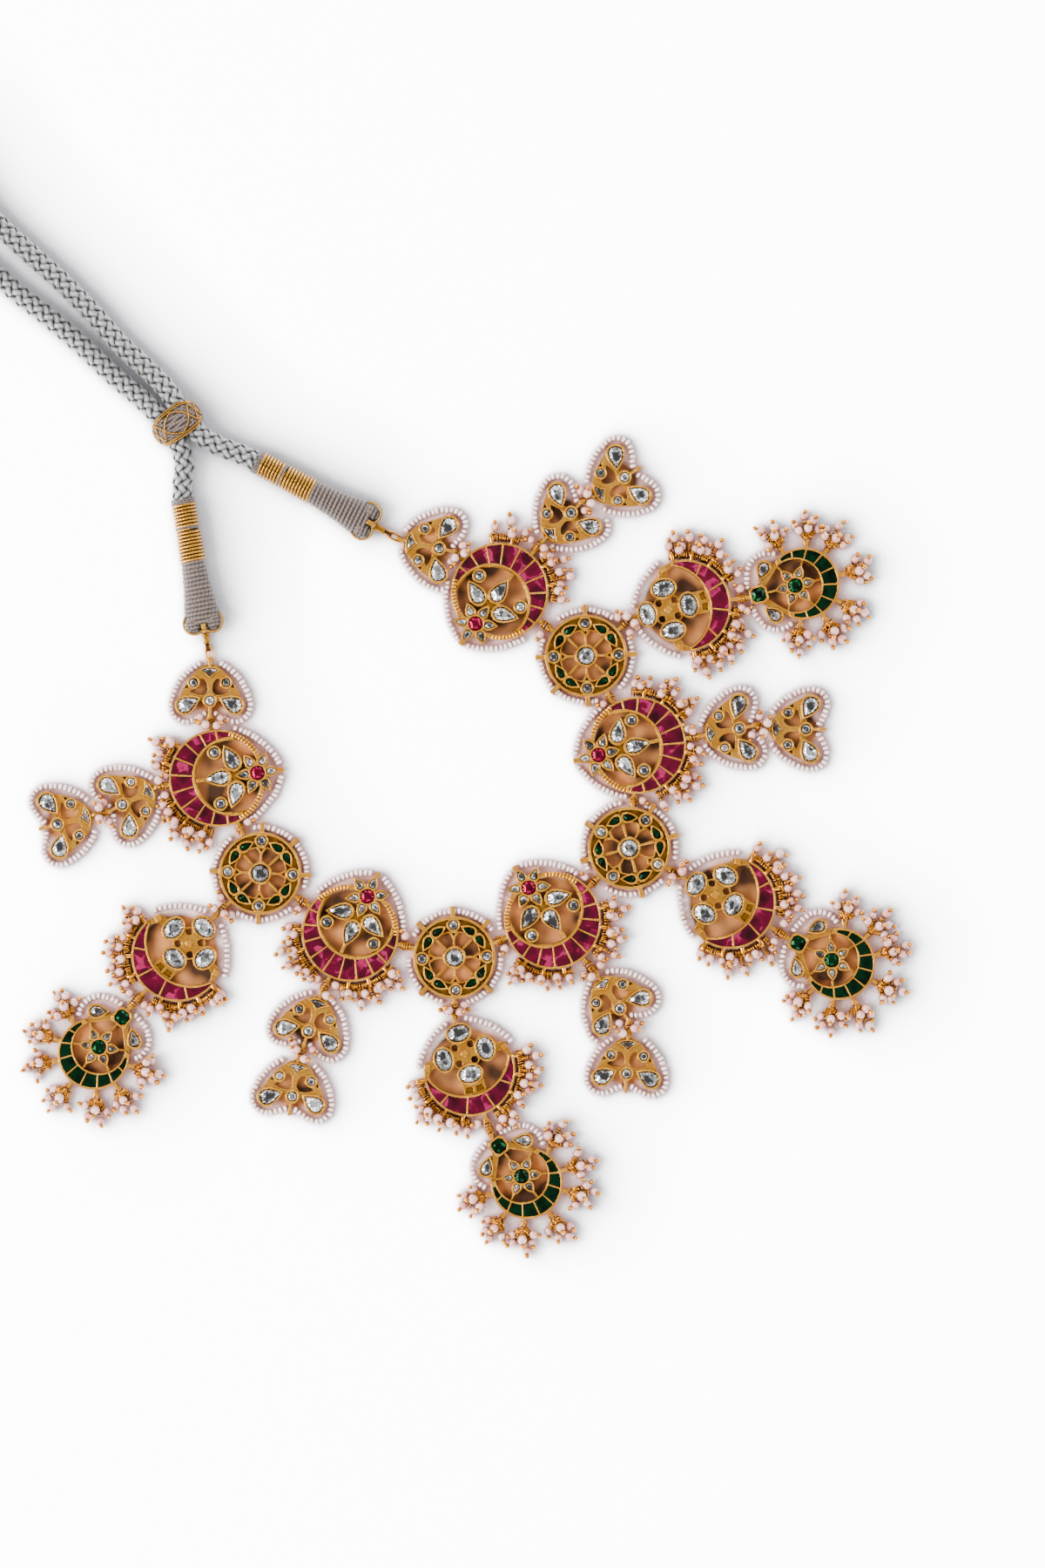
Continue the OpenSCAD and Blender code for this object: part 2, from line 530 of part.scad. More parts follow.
// Crescent of panes: the channel that holds them, the bars between them, and the panes
leaf_pane_r = leaf_r - bezel_w;
module leaf_channel(grow) polygon(pane(-leaf_pane_way, leaf_pane_way, leaf_fan_y,
    0, leaf_pane_r - grow, leaf_bow_y, leaf_bow_r + grow, 44));
function bar(a, w, from_y, out_y, out_r, in_y, in_r) = let (h = w / 2 / ray(a, from_y, out_y, out_r) * 57.3)
    pane(a - h, a + h, from_y, out_y, out_r, in_y, in_r, 1);
bar_w = 0.6;
bar_z = plate_t + 0.2;
pane_top = wall_h - 0.4;
function pane_edge(i, count, way) = -way + 2 * way * i / count;
module leaf_body() {
    difference() {
        union() {
            linear_extrude(plate_t) difference() {
                circle(r = leaf_r);
                intersection() {
                    translate([0, leaf_bow_y]) circle(r = leaf_open_r);
                    circle(r = leaf_r - leaf_rim);
                }
            }
            linear_extrude(wall_h - 0.2) translate([-0.5, leaf_bow_y - leaf_open_r - 0.2])
                square([1, leaf_open_r - leaf_bow_y - leaf_drop_l / 2]);
            linear_extrude(plate_t) {
                translate([0, 0.36 * leaf_r]) circle(r = 0.15 * leaf_r, $fn = 24);
                both_sides() polygon([[0.49, 0.03], [0.57, 0.03], [0.6, 0.24], [0.5, 0.24]] * leaf_r);
            }
            linear_extrude(wall_h) {
                leaf_walls(bezel_w);
                difference() {
                    circle(r = leaf_r);
                    translate([0, leaf_bow_y]) circle(r = leaf_open_r + 0.35);
                    translate([-leaf_r, leaf_bow_y + 0.13 * leaf_r]) square([2 * leaf_r, leaf_r]);
                }
            }
            linear_extrude(wall_h - 0.3) intersection() {
                difference() {
                    circle(r = leaf_r);
                    circle(r = leaf_r - leaf_rim);
                }
                translate([-leaf_r, leaf_bow_y + 0.13 * leaf_r - 0.2]) square([2 * leaf_r, 0.5 * leaf_r]);
            }
            linear_extrude(wall_h) translate([-leaf_tab_w / 2, leaf_ruby_y + PETAL[2]])
                square([leaf_tab_w, leaf_tip_y + 0.6 - leaf_ruby_y - PETAL[2]]);
        }
        translate([0, 0, seat_z]) linear_extrude(wall_h) {
            leaf_walls(0);
            leaf_channel(0);
        }
        translate([0, leaf_tip_y - 0.2, plate_t]) rotate([0, 90, 0])
            cylinder(h = 2 * leaf_tab_w, r = 0.4, center = true, $fn = 24);
    }
    translate([0, 0, bar_z]) linear_extrude(wall_h - bar_z) for (i = [1:leaf_panes - 1])
        polygon(bar(pane_edge(i, leaf_panes, leaf_pane_way), bar_w, leaf_fan_y,
            0, leaf_pane_r + 0.2, leaf_bow_y, leaf_bow_r - 0.2));
}
function leaf_eyes(i) = concat(
    [for (k = [0:7]) if (LEAF_WHEEL[k][0] == i) LEAF_WHEEL_LINKS[k]],
    [LEAF_HEART_LINKS[i]],
    i == 0 ? [[END_HEART_LINKS[0][1], END_HEART_LINKS[0][0]]] : [],
    i == 4 ? [[END_HEART_LINKS[1][1], END_HEART_LINKS[1][0]]] : []);
module leaf(i) color("goldenrod") plate_with_lugs(LEAVES[i], leaf_eyes(i), lug_out + 0.4) leaf_body();

module leaf_1() leaf(0);
module leaf_2() leaf(1);
module leaf_3() leaf(2);
module leaf_4() leaf(3);
module leaf_5() leaf(4);

module leaf_drops() color("aliceblue") for (l = LEAVES) put(l)
    for (d = LEAF_DROPS) translate([d[0], d[1]] * leaf_r) rotate(d[2])
        cut_stone(drop(leaf_drop_l, leaf_drop_w, STONE_SIDES));
module leaf_rubies() color("crimson") for (l = LEAVES) put(l)
    translate([0, leaf_ruby_y]) cut_stone(oval(leaf_ruby_d, leaf_ruby_d, STONE_SIDES));
// Panes of one crescent: low bars of gold lie over the bed that they share
bed_in = stone_gap + 0.15;
module panes(count, way, from_y, out_y, out_r, in_y, in_r, curve = 2) {
    translate([0, 0, seat_z + stone_gap]) linear_extrude(bar_z - seat_z - 2 * stone_gap)
        polygon(pane(-way + 1.5, way - 1.5, from_y, out_y, out_r - bed_in, in_y, in_r + bed_in, 2 * count));
    translate([0, 0, seat_z + stone_gap]) linear_extrude(pane_top - seat_z) for (i = [0:count - 1]) {
        h = (bar_w / 2 + stone_gap) / out_r * 57.3 * 1.15;
        first = pane_edge(i, count, way) + (i == 0 ? 1 : h);
        last = pane_edge(i + 1, count, way) - (i == count - 1 ? 1 : h);
        polygon(pane(first, last, from_y, out_y, out_r - stone_gap, in_y, in_r + stone_gap, curve));
    }
}
module leaf_red_panes() color("mediumvioletred") for (l = LEAVES) put(l)
    panes(leaf_panes, leaf_pane_way, leaf_fan_y, 0, leaf_pane_r, leaf_bow_y, leaf_bow_r);
module leaf_beads() color("mistyrose") for (l = LEAVES) put(l) both_sides()
    bead_string(LEAF_STRING, leaf_r);

// Wheel plate
module wheel_walls(grow) {
    circle(r = wheel_stone_d / 2 + stone_gap + grow);
    for (k = [0:3]) rotate(90 * k) {
        translate([wheel_dot_at, 0]) circle(r = wheel_dot_d / 2 + stone_gap + grow);
        for (s = [-1, 1]) rotate(45 + 15 * s) translate([wheel_leaf_at, 0]) rotate(90 * s)
            drop_wall(WHEEL_LEAF[0], WHEEL_LEAF[1], stone_gap + grow, LEAF_SIDES);
    }
}
// One eighth of the openings, between a forked spoke on X and a straight one at 45 degrees
module wheel_window() {
    h = spoke_w / 2;
    polygon(concat(
        [[sqrt(wheel_hub_r * wheel_hub_r - h * h), h], [0.44 * wheel_r, h], [0.52 * wheel_r, 0.06 * wheel_r]],
        [for (k = [0:4]) polar(wheel_well_r, 12 + (41.5 - 12) * k / 4)],
        [for (k = [0:3]) let (a = 45 - asin(h / wheel_hub_r)) polar(wheel_hub_r, a - (a - 5) * k / 3)]));
}
// Sunk floor between the stones and the rim, and inside each fork
module wheel_floor() {
    difference() {
        circle(r = wheel_r - wheel_rim);
        circle(r = wheel_well_r + 0.35);
        wheel_walls(bezel_w);
        for (k = [0:3]) rotate(45 + 90 * k) translate([wheel_well_r, -spoke_w / 2])
            square([wheel_r, spoke_w]);
    }
    for (k = [0:3]) rotate(90 * k) polygon([[0.52, 0], [0.6, -0.055], [0.6, 0.055]] * wheel_r);
}
wheel_floor_z = 0.6;
module wheel_body() {
    difference() {
        union() {
            linear_extrude(plate_t) difference() {
                circle(r = wheel_r);
                for (k = [0:3]) rotate(90 * k) {
                    wheel_window();
                    mirror([0, 1, 0]) wheel_window();
                }
            }
            linear_extrude(wall_h) {
                wheel_walls(bezel_w);
                difference() {
                    circle(r = wheel_r);
                    circle(r = wheel_r - wheel_rim);
                }
            }
        }
        translate([0, 0, seat_z]) linear_extrude(wall_h) wheel_walls(0);
        translate([0, 0, wheel_floor_z]) linear_extrude(wall_h) wheel_floor();
    }
}
// Links of each wheel, and the ways of their lugs in order round it from the first
WHEEL_LINKS = [for (i = [0:3]) concat([WHEEL_FAN_LINKS[i]],
    [for (k = [0:7]) if (LEAF_WHEEL[k][1] == i) [LEAF_WHEEL_LINKS[k][1], LEAF_WHEEL_LINKS[k][0]]])];
function whole_turn(a) = a - 360 * floor(a / 360);
function lug_way(i, k) = heading(centre(WHEELS[i]), WHEEL_LINKS[i][k][0]) - WHEELS[i][2];
function lug_ways(i) = let (first = lug_way(i, 0),
    b = whole_turn(lug_way(i, 1) - first), c = whole_turn(lug_way(i, 2) - first))
    [first, first + min(b, c), first + max(b, c), first + 360];
// A string lug stands at each eighth of the rim that has no ring's lug near it
function apart(a, b) = abs(whole_turn(a - b + 180) - 180);
function is_string_lug(i, k) = min([for (w = lug_ways(i)) apart(45 * k, w)]) > 22.5;
string_r = wheel_r + bead_d / 2 + trim_gap + 0.2;
string_z = bead_d / 2 + 0.3;
string_hole_r = bead_d / 2 + 0.12;
string_lug_w = 1.3 * lug_w;
module at_string_lugs(i) for (k = [0:7]) if (is_string_lug(i, k)) rotate(45 * k) children();
module wheel(i) color("goldenrod") difference() {
    plate_with_lugs(WHEELS[i], WHEEL_LINKS[i], lug_out + 0.4) {
        wheel_body();
        at_string_lugs(i) translate([wheel_r - 0.4, -string_lug_w / 2, 0])
            cube([string_r + string_hole_r + 0.8 - wheel_r, string_lug_w, string_z + string_hole_r + 0.4]);
    }
    put(WHEELS[i]) at_string_lugs(i) translate([string_r, 0, string_z]) rotate([90, 0, 0])
        cylinder(h = string_lug_w + 1, r = string_hole_r, center = true, $fn = 24);
}
module wheel_1() wheel(0);
module wheel_2() wheel(1);
module wheel_3() wheel(2);
module wheel_4() wheel(3);

module wheel_stones() color("aliceblue") for (w = WHEELS) put(w)
    cut_stone(oval(wheel_stone_d, wheel_stone_d, STONE_SIDES + 2));
// Strings between the lugs that hold rings, through the holes of the others
string_stop = 17;
module wheel_beads() color("mistyrose") for (i = [0:3]) put(WHEELS[i]) for (k = [0:2]) {
    from = lug_ways(i)[k] + string_stop;
    to = lug_ways(i)[k + 1] - string_stop;
    translate([0, 0, string_z]) rotate(from) rotate_extrude(angle = to - from)
        translate([string_r, 0]) circle(r = bead_d / 2, $fn = 24);
}

// Fan plate
FAN_OVALS = [[0, 1, 0], [1, 0, 90], [0, -0.97, 0], [-1, 0, 90]];
module fan_walls(grow) for (o = FAN_OVALS) translate([o[0], o[1]] * fan_oval_r) rotate(o[2])
    oval_wall(fan_oval_l, fan_oval_w, stone_gap + grow);
fan_pane_r = fan_r - bezel_w;
module fan_channel() polygon(pane(-fan_pane_way, fan_pane_way, -crescent_drop,
    -crescent_drop, fan_pane_r, fan_bow_y, fan_bow_r, 30));
module fan_body() {
    difference() {
        union() {
            linear_extrude(plate_t) {
                difference() {
                    translate([0, -crescent_drop]) circle(r = fan_r);
                    translate([0, fan_bow_y]) circle(r = fan_open_r);
                    translate([-fan_r - 1, -crescent_drop + 0.1 * fan_r]) square([2 * fan_r + 2, 2 * fan_r]);
                }
                difference() {
                    rotate(45) square(1.5 * fan_oval_r, center = true);
                    for (k = [0:3]) rotate(45 + 90 * k) translate([0.53 * fan_oval_r, 0])
                        circle(r = 0.16 * fan_oval_r, $fn = 24);
                }
                translate([-0.52 * fan_oval_r, -2.02 * fan_oval_r]) square([1.04 * fan_oval_r, fan_oval_r]);
                both_sides() polygon(concat([[1.35, -0.23], [1.35, 0.15]] * fan_oval_r, FAN_ARM * fan_r));
            }
            linear_extrude(wall_h) {
                fan_walls(bezel_w);
                circle(r = 0.17 * fan_oval_r, $fn = 24);
                difference() {
                    translate([0, -crescent_drop]) circle(r = fan_r);
                    translate([0, fan_bow_y]) circle(r = fan_open_r + 0.15);
                    translate([-fan_r - 1, -crescent_drop + 0.08 * fan_r]) square([2 * fan_r + 2, 2 * fan_r]);
                }
                both_sides() translate(FAN_HORN * fan_r) rotate(20) square(0.13 * fan_r, center = true);
            }
            stem(fan_oval_r + fan_oval_w / 2, fan_lug_y);
        }
        translate([0, 0, seat_z]) linear_extrude(wall_h) {
            fan_walls(0);
            fan_channel();
        }
        translate([0, 0, seat_z / 2]) linear_extrude(wall_h) both_sides() polygon(FAN_NICK * fan_oval_r);
    }
    translate([0, 0, bar_z]) linear_extrude(wall_h - bar_z) for (i = [1:fan_panes - 1])
        polygon(bar(pane_edge(i, fan_panes, fan_pane_way), bar_w, -crescent_drop,
            -crescent_drop, fan_pane_r + 0.2, fan_bow_y, fan_bow_r - 0.2));
}
module fan(i) color("goldenrod") plate_with_lugs(FANS[i],
    [[WHEEL_FAN_LINKS[i][1], WHEEL_FAN_LINKS[i][0]], concat(FAN_PENDANT_LINKS[i], [2 * lug_out + 0.4])],
    lug_out + 0.4) fan_body();
module fan_1() fan(0);
module fan_2() fan(1);
module fan_3() fan(2);
module fan_4() fan(3);

module fan_ovals() color("aliceblue") for (f = FANS) put(f)
    for (o = FAN_OVALS) translate([o[0], o[1]] * fan_oval_r) rotate(o[2])
        cut_stone(oval(fan_oval_l, fan_oval_w, STONE_SIDES));
module fan_red_panes() color("mediumvioletred") for (f = FANS) put(f)
    panes(fan_panes, fan_pane_way, -crescent_drop, -crescent_drop, fan_pane_r, fan_bow_y, fan_bow_r, 4);
module fan_beads() color("mistyrose") for (f = FANS) put(f) both_sides()
    bead_string(FAN_STRING, fan_r);

// Green pendant plate
function pear(r, y, half) = concat([[half, y], [-half, y]],
    [for (k = [0:24]) polar(r, 152 + 236 * k / 24)]);
pendant_pane_r = pendant_r - bezel_w;
module pendant_walls(grow) {
    circle(r = pendant_stone_d / 2 + stone_gap + grow);
    petals(PENDANT_PETAL, 0, stone_gap + grow);
    both_sides() translate([PENDANT_EAR[0], PENDANT_EAR[1]] * pendant_r) rotate(180 - PENDANT_EAR[2])
        drop_wall(ear_l, ear_w, stone_gap + grow, LEAF_SIDES + 2);
    translate([0, head_y]) polygon(squircle(head_stone_w + 2 * (stone_gap + grow)));
}
module pendant_channel() polygon(pane(-pendant_pane_way, pendant_pane_way, 0,
    pendant_ring_y, pendant_pane_r, 0, pendant_bow_r, 30));
module pendant_body() {
    difference() {
        union() {
            linear_extrude(plate_t) {
                difference() {
                    union() {
                        translate([0, pendant_ring_y]) circle(r = pendant_r);
                        polygon(pear(pendant_open_r + 0.9, head_y, 0.24 * pendant_r));
                    }
                    polygon(pear(pendant_open_r, 0.86 * pendant_r, 0.14 * pendant_r));
                }
                for (k = [0:5]) rotate(60 * k) translate([-spoke_w / 2, PENDANT_PETAL[2]])
                    square([spoke_w, pendant_open_r - PENDANT_PETAL[2] + 0.3]);
                translate([-spoke_w / 2, pendant_open_r - 0.5]) square([spoke_w, head_y - pendant_open_r]);
            }
            linear_extrude(wall_h) {
                pendant_walls(bezel_w);
                difference() {
                    translate([0, pendant_ring_y]) circle(r = pendant_r);
                    circle(r = pendant_open_r + 0.1);
                    translate([-pendant_r, 0.36 * pendant_r]) square([2 * pendant_r, pendant_r]);
                }
            }
            for (a = PENDANT_LUGS) translate([0, pendant_ring_y, 0]) rotate(a - 90)
                translate([pendant_r - 0.4, -lug_w / 2, ring_z - lug_end])
                    cube([lug_out + 0.4 + lug_end, lug_w, 2 * lug_end]);
        }
        translate([0, 0, seat_z]) linear_extrude(wall_h) {
            pendant_walls(0);
            pendant_channel();
        }
        for (a = PENDANT_LUGS) translate([0, pendant_ring_y, 0]) rotate(a - 90)
            translate([pendant_r + lug_out, 0, ring_z]) rotate([90, 0, 0])
                cylinder(h = lug_w + 0.6, r = lug_hole_r, center = true, $fn = 24);
    }
    translate([0, 0, bar_z]) linear_extrude(wall_h - bar_z) for (i = [1:pendant_panes - 1])
        polygon(bar(pane_edge(i, pendant_panes, pendant_pane_way), bar_w * 0.8, 0,
            pendant_ring_y, pendant_pane_r + 0.2, 0, pendant_bow_r - 0.2));
}
module pendant(i) color("goldenrod") plate_with_lugs(PENDANTS[i],
    [[FAN_PENDANT_LINKS[i][1], FAN_PENDANT_LINKS[i][0]]], lug_out + 0.4) pendant_body();
module pendant_1() pendant(0);
module pendant_2() pendant(1);
module pendant_3() pendant(2);
module pendant_4() pendant(3);

module pendant_emeralds() color("darkgreen") for (p = PENDANTS) put(p) {
    cut_stone(oval(pendant_stone_d, pendant_stone_d, STONE_SIDES));
    translate([0, head_y]) cut_stone(squircle(head_stone_w));
}
module pendant_ears() color("aliceblue") for (p = PENDANTS) put(p) both_sides()
    translate([PENDANT_EAR[0], PENDANT_EAR[1]] * pendant_r) rotate(180 - PENDANT_EAR[2])
        cut_stone(drop(ear_l, ear_w, STONE_SIDES));
module pendant_green_panes() color("darkgreen") for (p = PENDANTS) put(p)
    panes(pendant_panes, pendant_pane_way, 0, pendant_ring_y, pendant_pane_r, 0, pendant_bow_r);
module pendant_beads() color("mistyrose") for (p = PENDANTS) put(p) both_sides()
    bead_string(PENDANT_STRING, pendant_r);

// Jump rings, lying flat through both lugs
module jump_rings() color("gold") for (l = LINKS) translate([0, 0, ring_z]) translate((l[0] + l[1]) / 2)
    rotate_extrude() translate([norm(l[1] - l[0]) / 2, 0]) circle(r = ring_wire / 2, $fn = 24);

// Fringes: a coil of gold wire with pearls along it, from a to b degrees round the foot
coil_w = 2.3;
coil_h = 2;
coil_z = 0.3;
pearl_step = pearl_d + 0.15;
module pearl(r) translate([r, 0, pearl_d / 2]) sphere(d = pearl_d, $fn = 24);
module fringe(r, a, b) {
    pearl_at = r + trim_gap + coil_w + pearl_d * 0.22;
    half = asin(pearl_d / 2 / pearl_at);
    count = floor((b - a - 2 * half) * pearl_at / 57.3 / pearl_step) + 1;
    turn = count > 1 ? (b - a - 2 * half) / (count - 1) : 0;
    rotate(-90) {
        translate([0, 0, coil_z]) linear_extrude(coil_h)
            polygon(sector(r + trim_gap, r + trim_gap + coil_w, a, b, 10));
        for (k = [0:count - 1]) rotate(a + half + turn * k) pearl(pearl_at);
    }
}
module leaf_fringes() color("mistyrose") for (i = [0:4]) put(LEAVES[i]) {
    fringe(leaf_r, -LEAF_FRINGES[i][0], -fringe_start);
    fringe(leaf_r, fringe_start, LEAF_FRINGES[i][1]);
}
module fan_fringes() color("mistyrose") for (f = FANS) put(f) translate([0, -crescent_drop]) {
    fringe(fan_r, -fan_fringe_end, -fan_fringe_start);
    fringe(fan_r, fan_fringe_start, fan_fringe_end);
}
// Bunches of three pearls, one at each lug of a green pendant, on one loop of wire
bunch_in = pendant_r + lug_out + lug_end + trim_gap;
hoop_w = 1.6;
bunch_spread = 6.6;
module pendant_fringes() color("mistyrose") for (p = PENDANTS) put(p)
    translate([0, pendant_ring_y]) rotate(-90) {
        translate([0, 0, coil_z]) linear_extrude(coil_h)
            polygon(sector(bunch_in, bunch_in + hoop_w, PENDANT_LUGS[6] - 5, PENDANT_LUGS[5] + 5, 30));
        for (a = PENDANT_LUGS) rotate(a) {
            for (s = [-1, 1]) rotate(bunch_spread * s) pearl(bunch_in + hoop_w + 1);
            pearl(bunch_in + hoop_w + 3.2);
        }
    }

// Cord, slider and ends
band_l = [9, 6.5];
band_gap = 1;
cord_end_z = cord_d / 2 + band_t + 0.2;
slider_z = cord_d / 2 + 0.2 + slider_wall;
tie_l = 2.7;
tie_loop_r = lug_hole_r + 0.45;
function wrap_foot(i) = step(TIE_LINKS[i][1], TIE_WAYS[i], tie_loop_r + 0.45 + tie_l);
function wrap_head(i) = step(wrap_foot(i), TIE_WAYS[i], wrap_l);
function on_cord(i, reach) = let (p = step(wrap_head(i), TIE_WAYS[i], reach)) [p[0], p[1], cord_end_z];
function strand(side, reach) =
    let (p = step(step(slider_at, slider_way, reach), slider_way - 90, side * strand_half))
    [p[0], p[1], slider_z];
bands_end = band_l[0] + band_l[1] + 2 * band_gap;
CORD_ROUTE = concat(
    [on_cord(1, 0.1), on_cord(1, 0.5 * bands_end), on_cord(1, bands_end)],
    LEFT_RISE,
    [strand(-1, -slider_l / 2), strand(-1, 0), strand(-1, slider_l / 2)],
    [for (k = [len(CORD_FREE) - 1:-1:0]) CORD_FREE[k]],
    [strand(1, slider_l / 2), strand(1, 0), strand(1, -slider_l / 2)],
    RIGHT_RISE,
    [on_cord(0, bands_end), on_cord(0, 0.5 * bands_end), on_cord(0, 0.1)]);
module cord() color("silver") tube(CORD_ROUTE, cord_d, CORD_SIDES);

module slot(half, r) {
    square([2 * half, 2 * r], center = true);
    for (s = [-1, 1]) translate([s * half, 0]) circle(r = r);
}
module cord_slider() color("rosybrown") translate([slider_at[0], slider_at[1], slider_z])
    rotate([90, 0, slider_way - 90]) linear_extrude(slider_l, center = true) difference() {
        slot(strand_half, cord_d / 2 + 0.2 + slider_wall);
        slot(strand_half, cord_d / 2 + 0.2);
    }

// Thread wrapping: rings of [share of the length, width, height], round at the cord and wide at the foot
wrap_h = 2 * cord_end_z - 0.4;
WRAP_RINGS = [[0, 0.62], [0.12, 0.68], [0.4, 0.76], [0.7, 0.94], [0.86, 1], [0.97, 0.9], [1, 0.6]];
WRAP_SIDES = 16;
module cord_wrap(i) color("rosybrown") {
    n = WRAP_SIDES;
    points = [for (w = WRAP_RINGS) let (h = w[0] > 0.95 ? w[1] : 1)
        for (k = [0:n - 1]) let (a = -360 * (k + 0.5) / n)
            [-w[0] * wrap_l, w[1] * wrap_w / 2 * cos(a), cord_end_z + h * wrap_h / 2 * sin(a)]];
    head = wrap_head(i);
    translate([head[0], head[1], 0]) rotate(TIE_WAYS[i])
        polyhedron(points, swept_faces(len(WRAP_RINGS), n));
}
module cord_wrap_left() cord_wrap(1);
module cord_wrap_right() cord_wrap(0);

module gold_bands() color("gold") for (i = [0, 1]) for (k = [0, 1]) {
    p = on_cord(i, k == 0 ? 0.3 : band_l[0] + band_gap);
    translate(p) rotate(TIE_WAYS[i]) rotate([0, 90, 0]) difference() {
        cylinder(h = band_l[k], r = cord_d / 2 + 0.12 + band_t);
        translate([0, 0, -1]) cylinder(h = band_l[k] + 2, r = cord_d / 2 + 0.12);
    }
}
module thread_ties() color("gold") for (i = [0, 1]) {
    p = TIE_LINKS[i][1];
    translate([p[0], p[1], ring_z]) rotate(TIE_WAYS[i]) {
        rotate([90, 0, 0]) rotate_extrude() translate([tie_loop_r, 0]) circle(r = 0.45, $fn = 24);
        translate([tie_loop_r + 0.2, 0, 0]) rotate([0, 90, 0]) cylinder(h = tie_l + 0.15, r = 0.7, $fn = 24);
    }
}

wheel_1();
wheel_2();
wheel_3();
wheel_4();
leaf_1();
leaf_2();
leaf_3();
leaf_4();
leaf_5();
fan_1();
fan_2();
fan_3();
fan_4();
pendant_1();
pendant_2();
pendant_3();
pendant_4();
heart_right();
heart_left();
heart_1a();
heart_1b();
heart_2a();
heart_2b();
heart_3a();
heart_3b();
heart_4a();
heart_4b();
heart_5a();
heart_5b();
heart_drops();
heart_rounds();
heart_kites();
leaf_drops();
leaf_rubies();
leaf_red_panes();
wheel_stones();
fan_ovals();
fan_red_panes();
pendant_emeralds();
pendant_ears();
pendant_green_panes();
jump_rings();
heart_beads();
leaf_beads();
wheel_beads();
fan_beads();
pendant_beads();
leaf_fringes();
fan_fringes();
pendant_fringes();
cord();
cord_slider();
cord_wrap_left();
cord_wrap_right();
gold_bands();
thread_ties();
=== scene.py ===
"""Kundan necklace: stones, strings, pearls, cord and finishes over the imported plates.

Sizes are millimetres in the same frame as the plates: underside on z = 0, origin under the
middle wheel, X to the right and Y up the view. A mesh is turned into metres when it is written.
A place is (x, y, angle in degrees) of a plate's own frame, whose +Y is the way that it faces.
"""

from __future__ import annotations

import logging
import math
from collections.abc import Callable
from dataclasses import dataclass, field, replace
from enum import Enum

import bpy
import numpy as np
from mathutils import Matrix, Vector

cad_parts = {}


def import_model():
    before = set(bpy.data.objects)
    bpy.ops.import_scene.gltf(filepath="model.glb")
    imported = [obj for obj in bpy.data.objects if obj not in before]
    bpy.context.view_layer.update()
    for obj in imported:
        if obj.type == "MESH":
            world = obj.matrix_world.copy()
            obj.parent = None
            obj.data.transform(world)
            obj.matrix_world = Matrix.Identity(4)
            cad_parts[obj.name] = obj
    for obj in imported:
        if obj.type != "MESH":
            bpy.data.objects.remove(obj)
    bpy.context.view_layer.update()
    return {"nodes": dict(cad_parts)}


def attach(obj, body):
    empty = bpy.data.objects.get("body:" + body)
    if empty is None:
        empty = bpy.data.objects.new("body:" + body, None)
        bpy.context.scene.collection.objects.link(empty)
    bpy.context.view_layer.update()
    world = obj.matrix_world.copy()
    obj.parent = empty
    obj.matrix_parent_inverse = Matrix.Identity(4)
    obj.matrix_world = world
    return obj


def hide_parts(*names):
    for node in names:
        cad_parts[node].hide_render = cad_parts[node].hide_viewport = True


LOG = logging.getLogger("necklace")
MM = 0.001
UP = np.array([0.0, 0.0, 1.0])
LEVEL = np.array([1.0, 1.0, 0.0])
SIDES = (-1, 1)
Place = tuple[float, float, float]
Colour = tuple[float, float, float]


# Places and directions


def polar(reach: float, way: float) -> np.ndarray:
    """Vector of a length and a way in degrees: (r cos a, r sin a)."""
    return reach * np.array([math.cos(math.radians(way)), math.sin(math.radians(way))])


def basis(way: float) -> tuple[np.ndarray, np.ndarray]:
    """Level directions along a way in degrees and to the left of it."""
    return np.array([*polar(1.0, way), 0.0]), np.array([*polar(1.0, way + 90), 0.0])


def heading(start: np.ndarray, end: np.ndarray) -> float:
    """Way in degrees from one point to another: atan2 of the difference."""
    return math.degrees(math.atan2(end[1] - start[1], end[0] - start[0]))


def towards(start: np.ndarray, end: np.ndarray, reach: float) -> np.ndarray:
    """Point at a distance from start on the level line to end."""
    return np.asarray(start)[:2] + polar(reach, heading(start, end))


def placed(points: np.ndarray, place: Place) -> np.ndarray:
    """Points of a plate's own frame, turned by its angle and moved to its middle.

    Args:
        points: array whose last axis is (x, y) or (x, y, z).
        place: the plate's place.

    Returns:
        An array of the same shape: x' = x cos a - y sin a + X, y' = x sin a + y cos a + Y.
    """
    c, s = math.cos(math.radians(place[2])), math.sin(math.radians(place[2]))
    out = np.array(points, dtype=float)
    x, y = out[..., 0].copy(), out[..., 1].copy()
    out[..., 0] = x * c - y * s + place[0]
    out[..., 1] = x * s + y * c + place[1]
    return out


def full_turn(n: int) -> np.ndarray:
    """Angles 2 pi k / n of n points round a circle."""
    return 2 * np.pi * np.arange(n) / n


def spun(middle: np.ndarray, first: np.ndarray, second: np.ndarray, turn: np.ndarray) -> np.ndarray:
    """Points M + cos(t) A + sin(t) B."""
    return middle + np.cos(turn)[:, None] * first + np.sin(turn)[:, None] * second


@dataclass(frozen=True)
class Sizes:
    """Sizes that plates, stones, strings and links share."""

    plate_t: float = 1.6
    wall_h: float = 2.8
    seat_z: float = 0.9
    bezel_w: float = 0.55
    stone_gap: float = 0.12
    heart_w: float = 19.0
    heart_l: float = 10.6
    heart_lug_l: float = 4.6
    leaf_r: float = 13.9
    leaf_rim: float = 1.4
    wheel_r: float = 11.8
    fan_r: float = 13.2
    fan_oval_l: float = 6.4
    fan_oval_w: float = 4.8
    fan_oval_r: float = 6.2
    pendant_r: float = 10.3
    head_stone_w: float = 3.8
    lug_out: float = 0.9
    trim_gap: float = 0.3
    bead_d: float = 1.8
    pearl_d: float = 3.0
    ring_wire: float = 0.7
    end_ring_d: float = 4.0
    cord_d: float = 6.0
    slider_l: float = 9.5
    slider_wall: float = 1.1
    band_t: float = 0.5
    wrap_l: float = 20.5
    wrap_w: float = 11.0


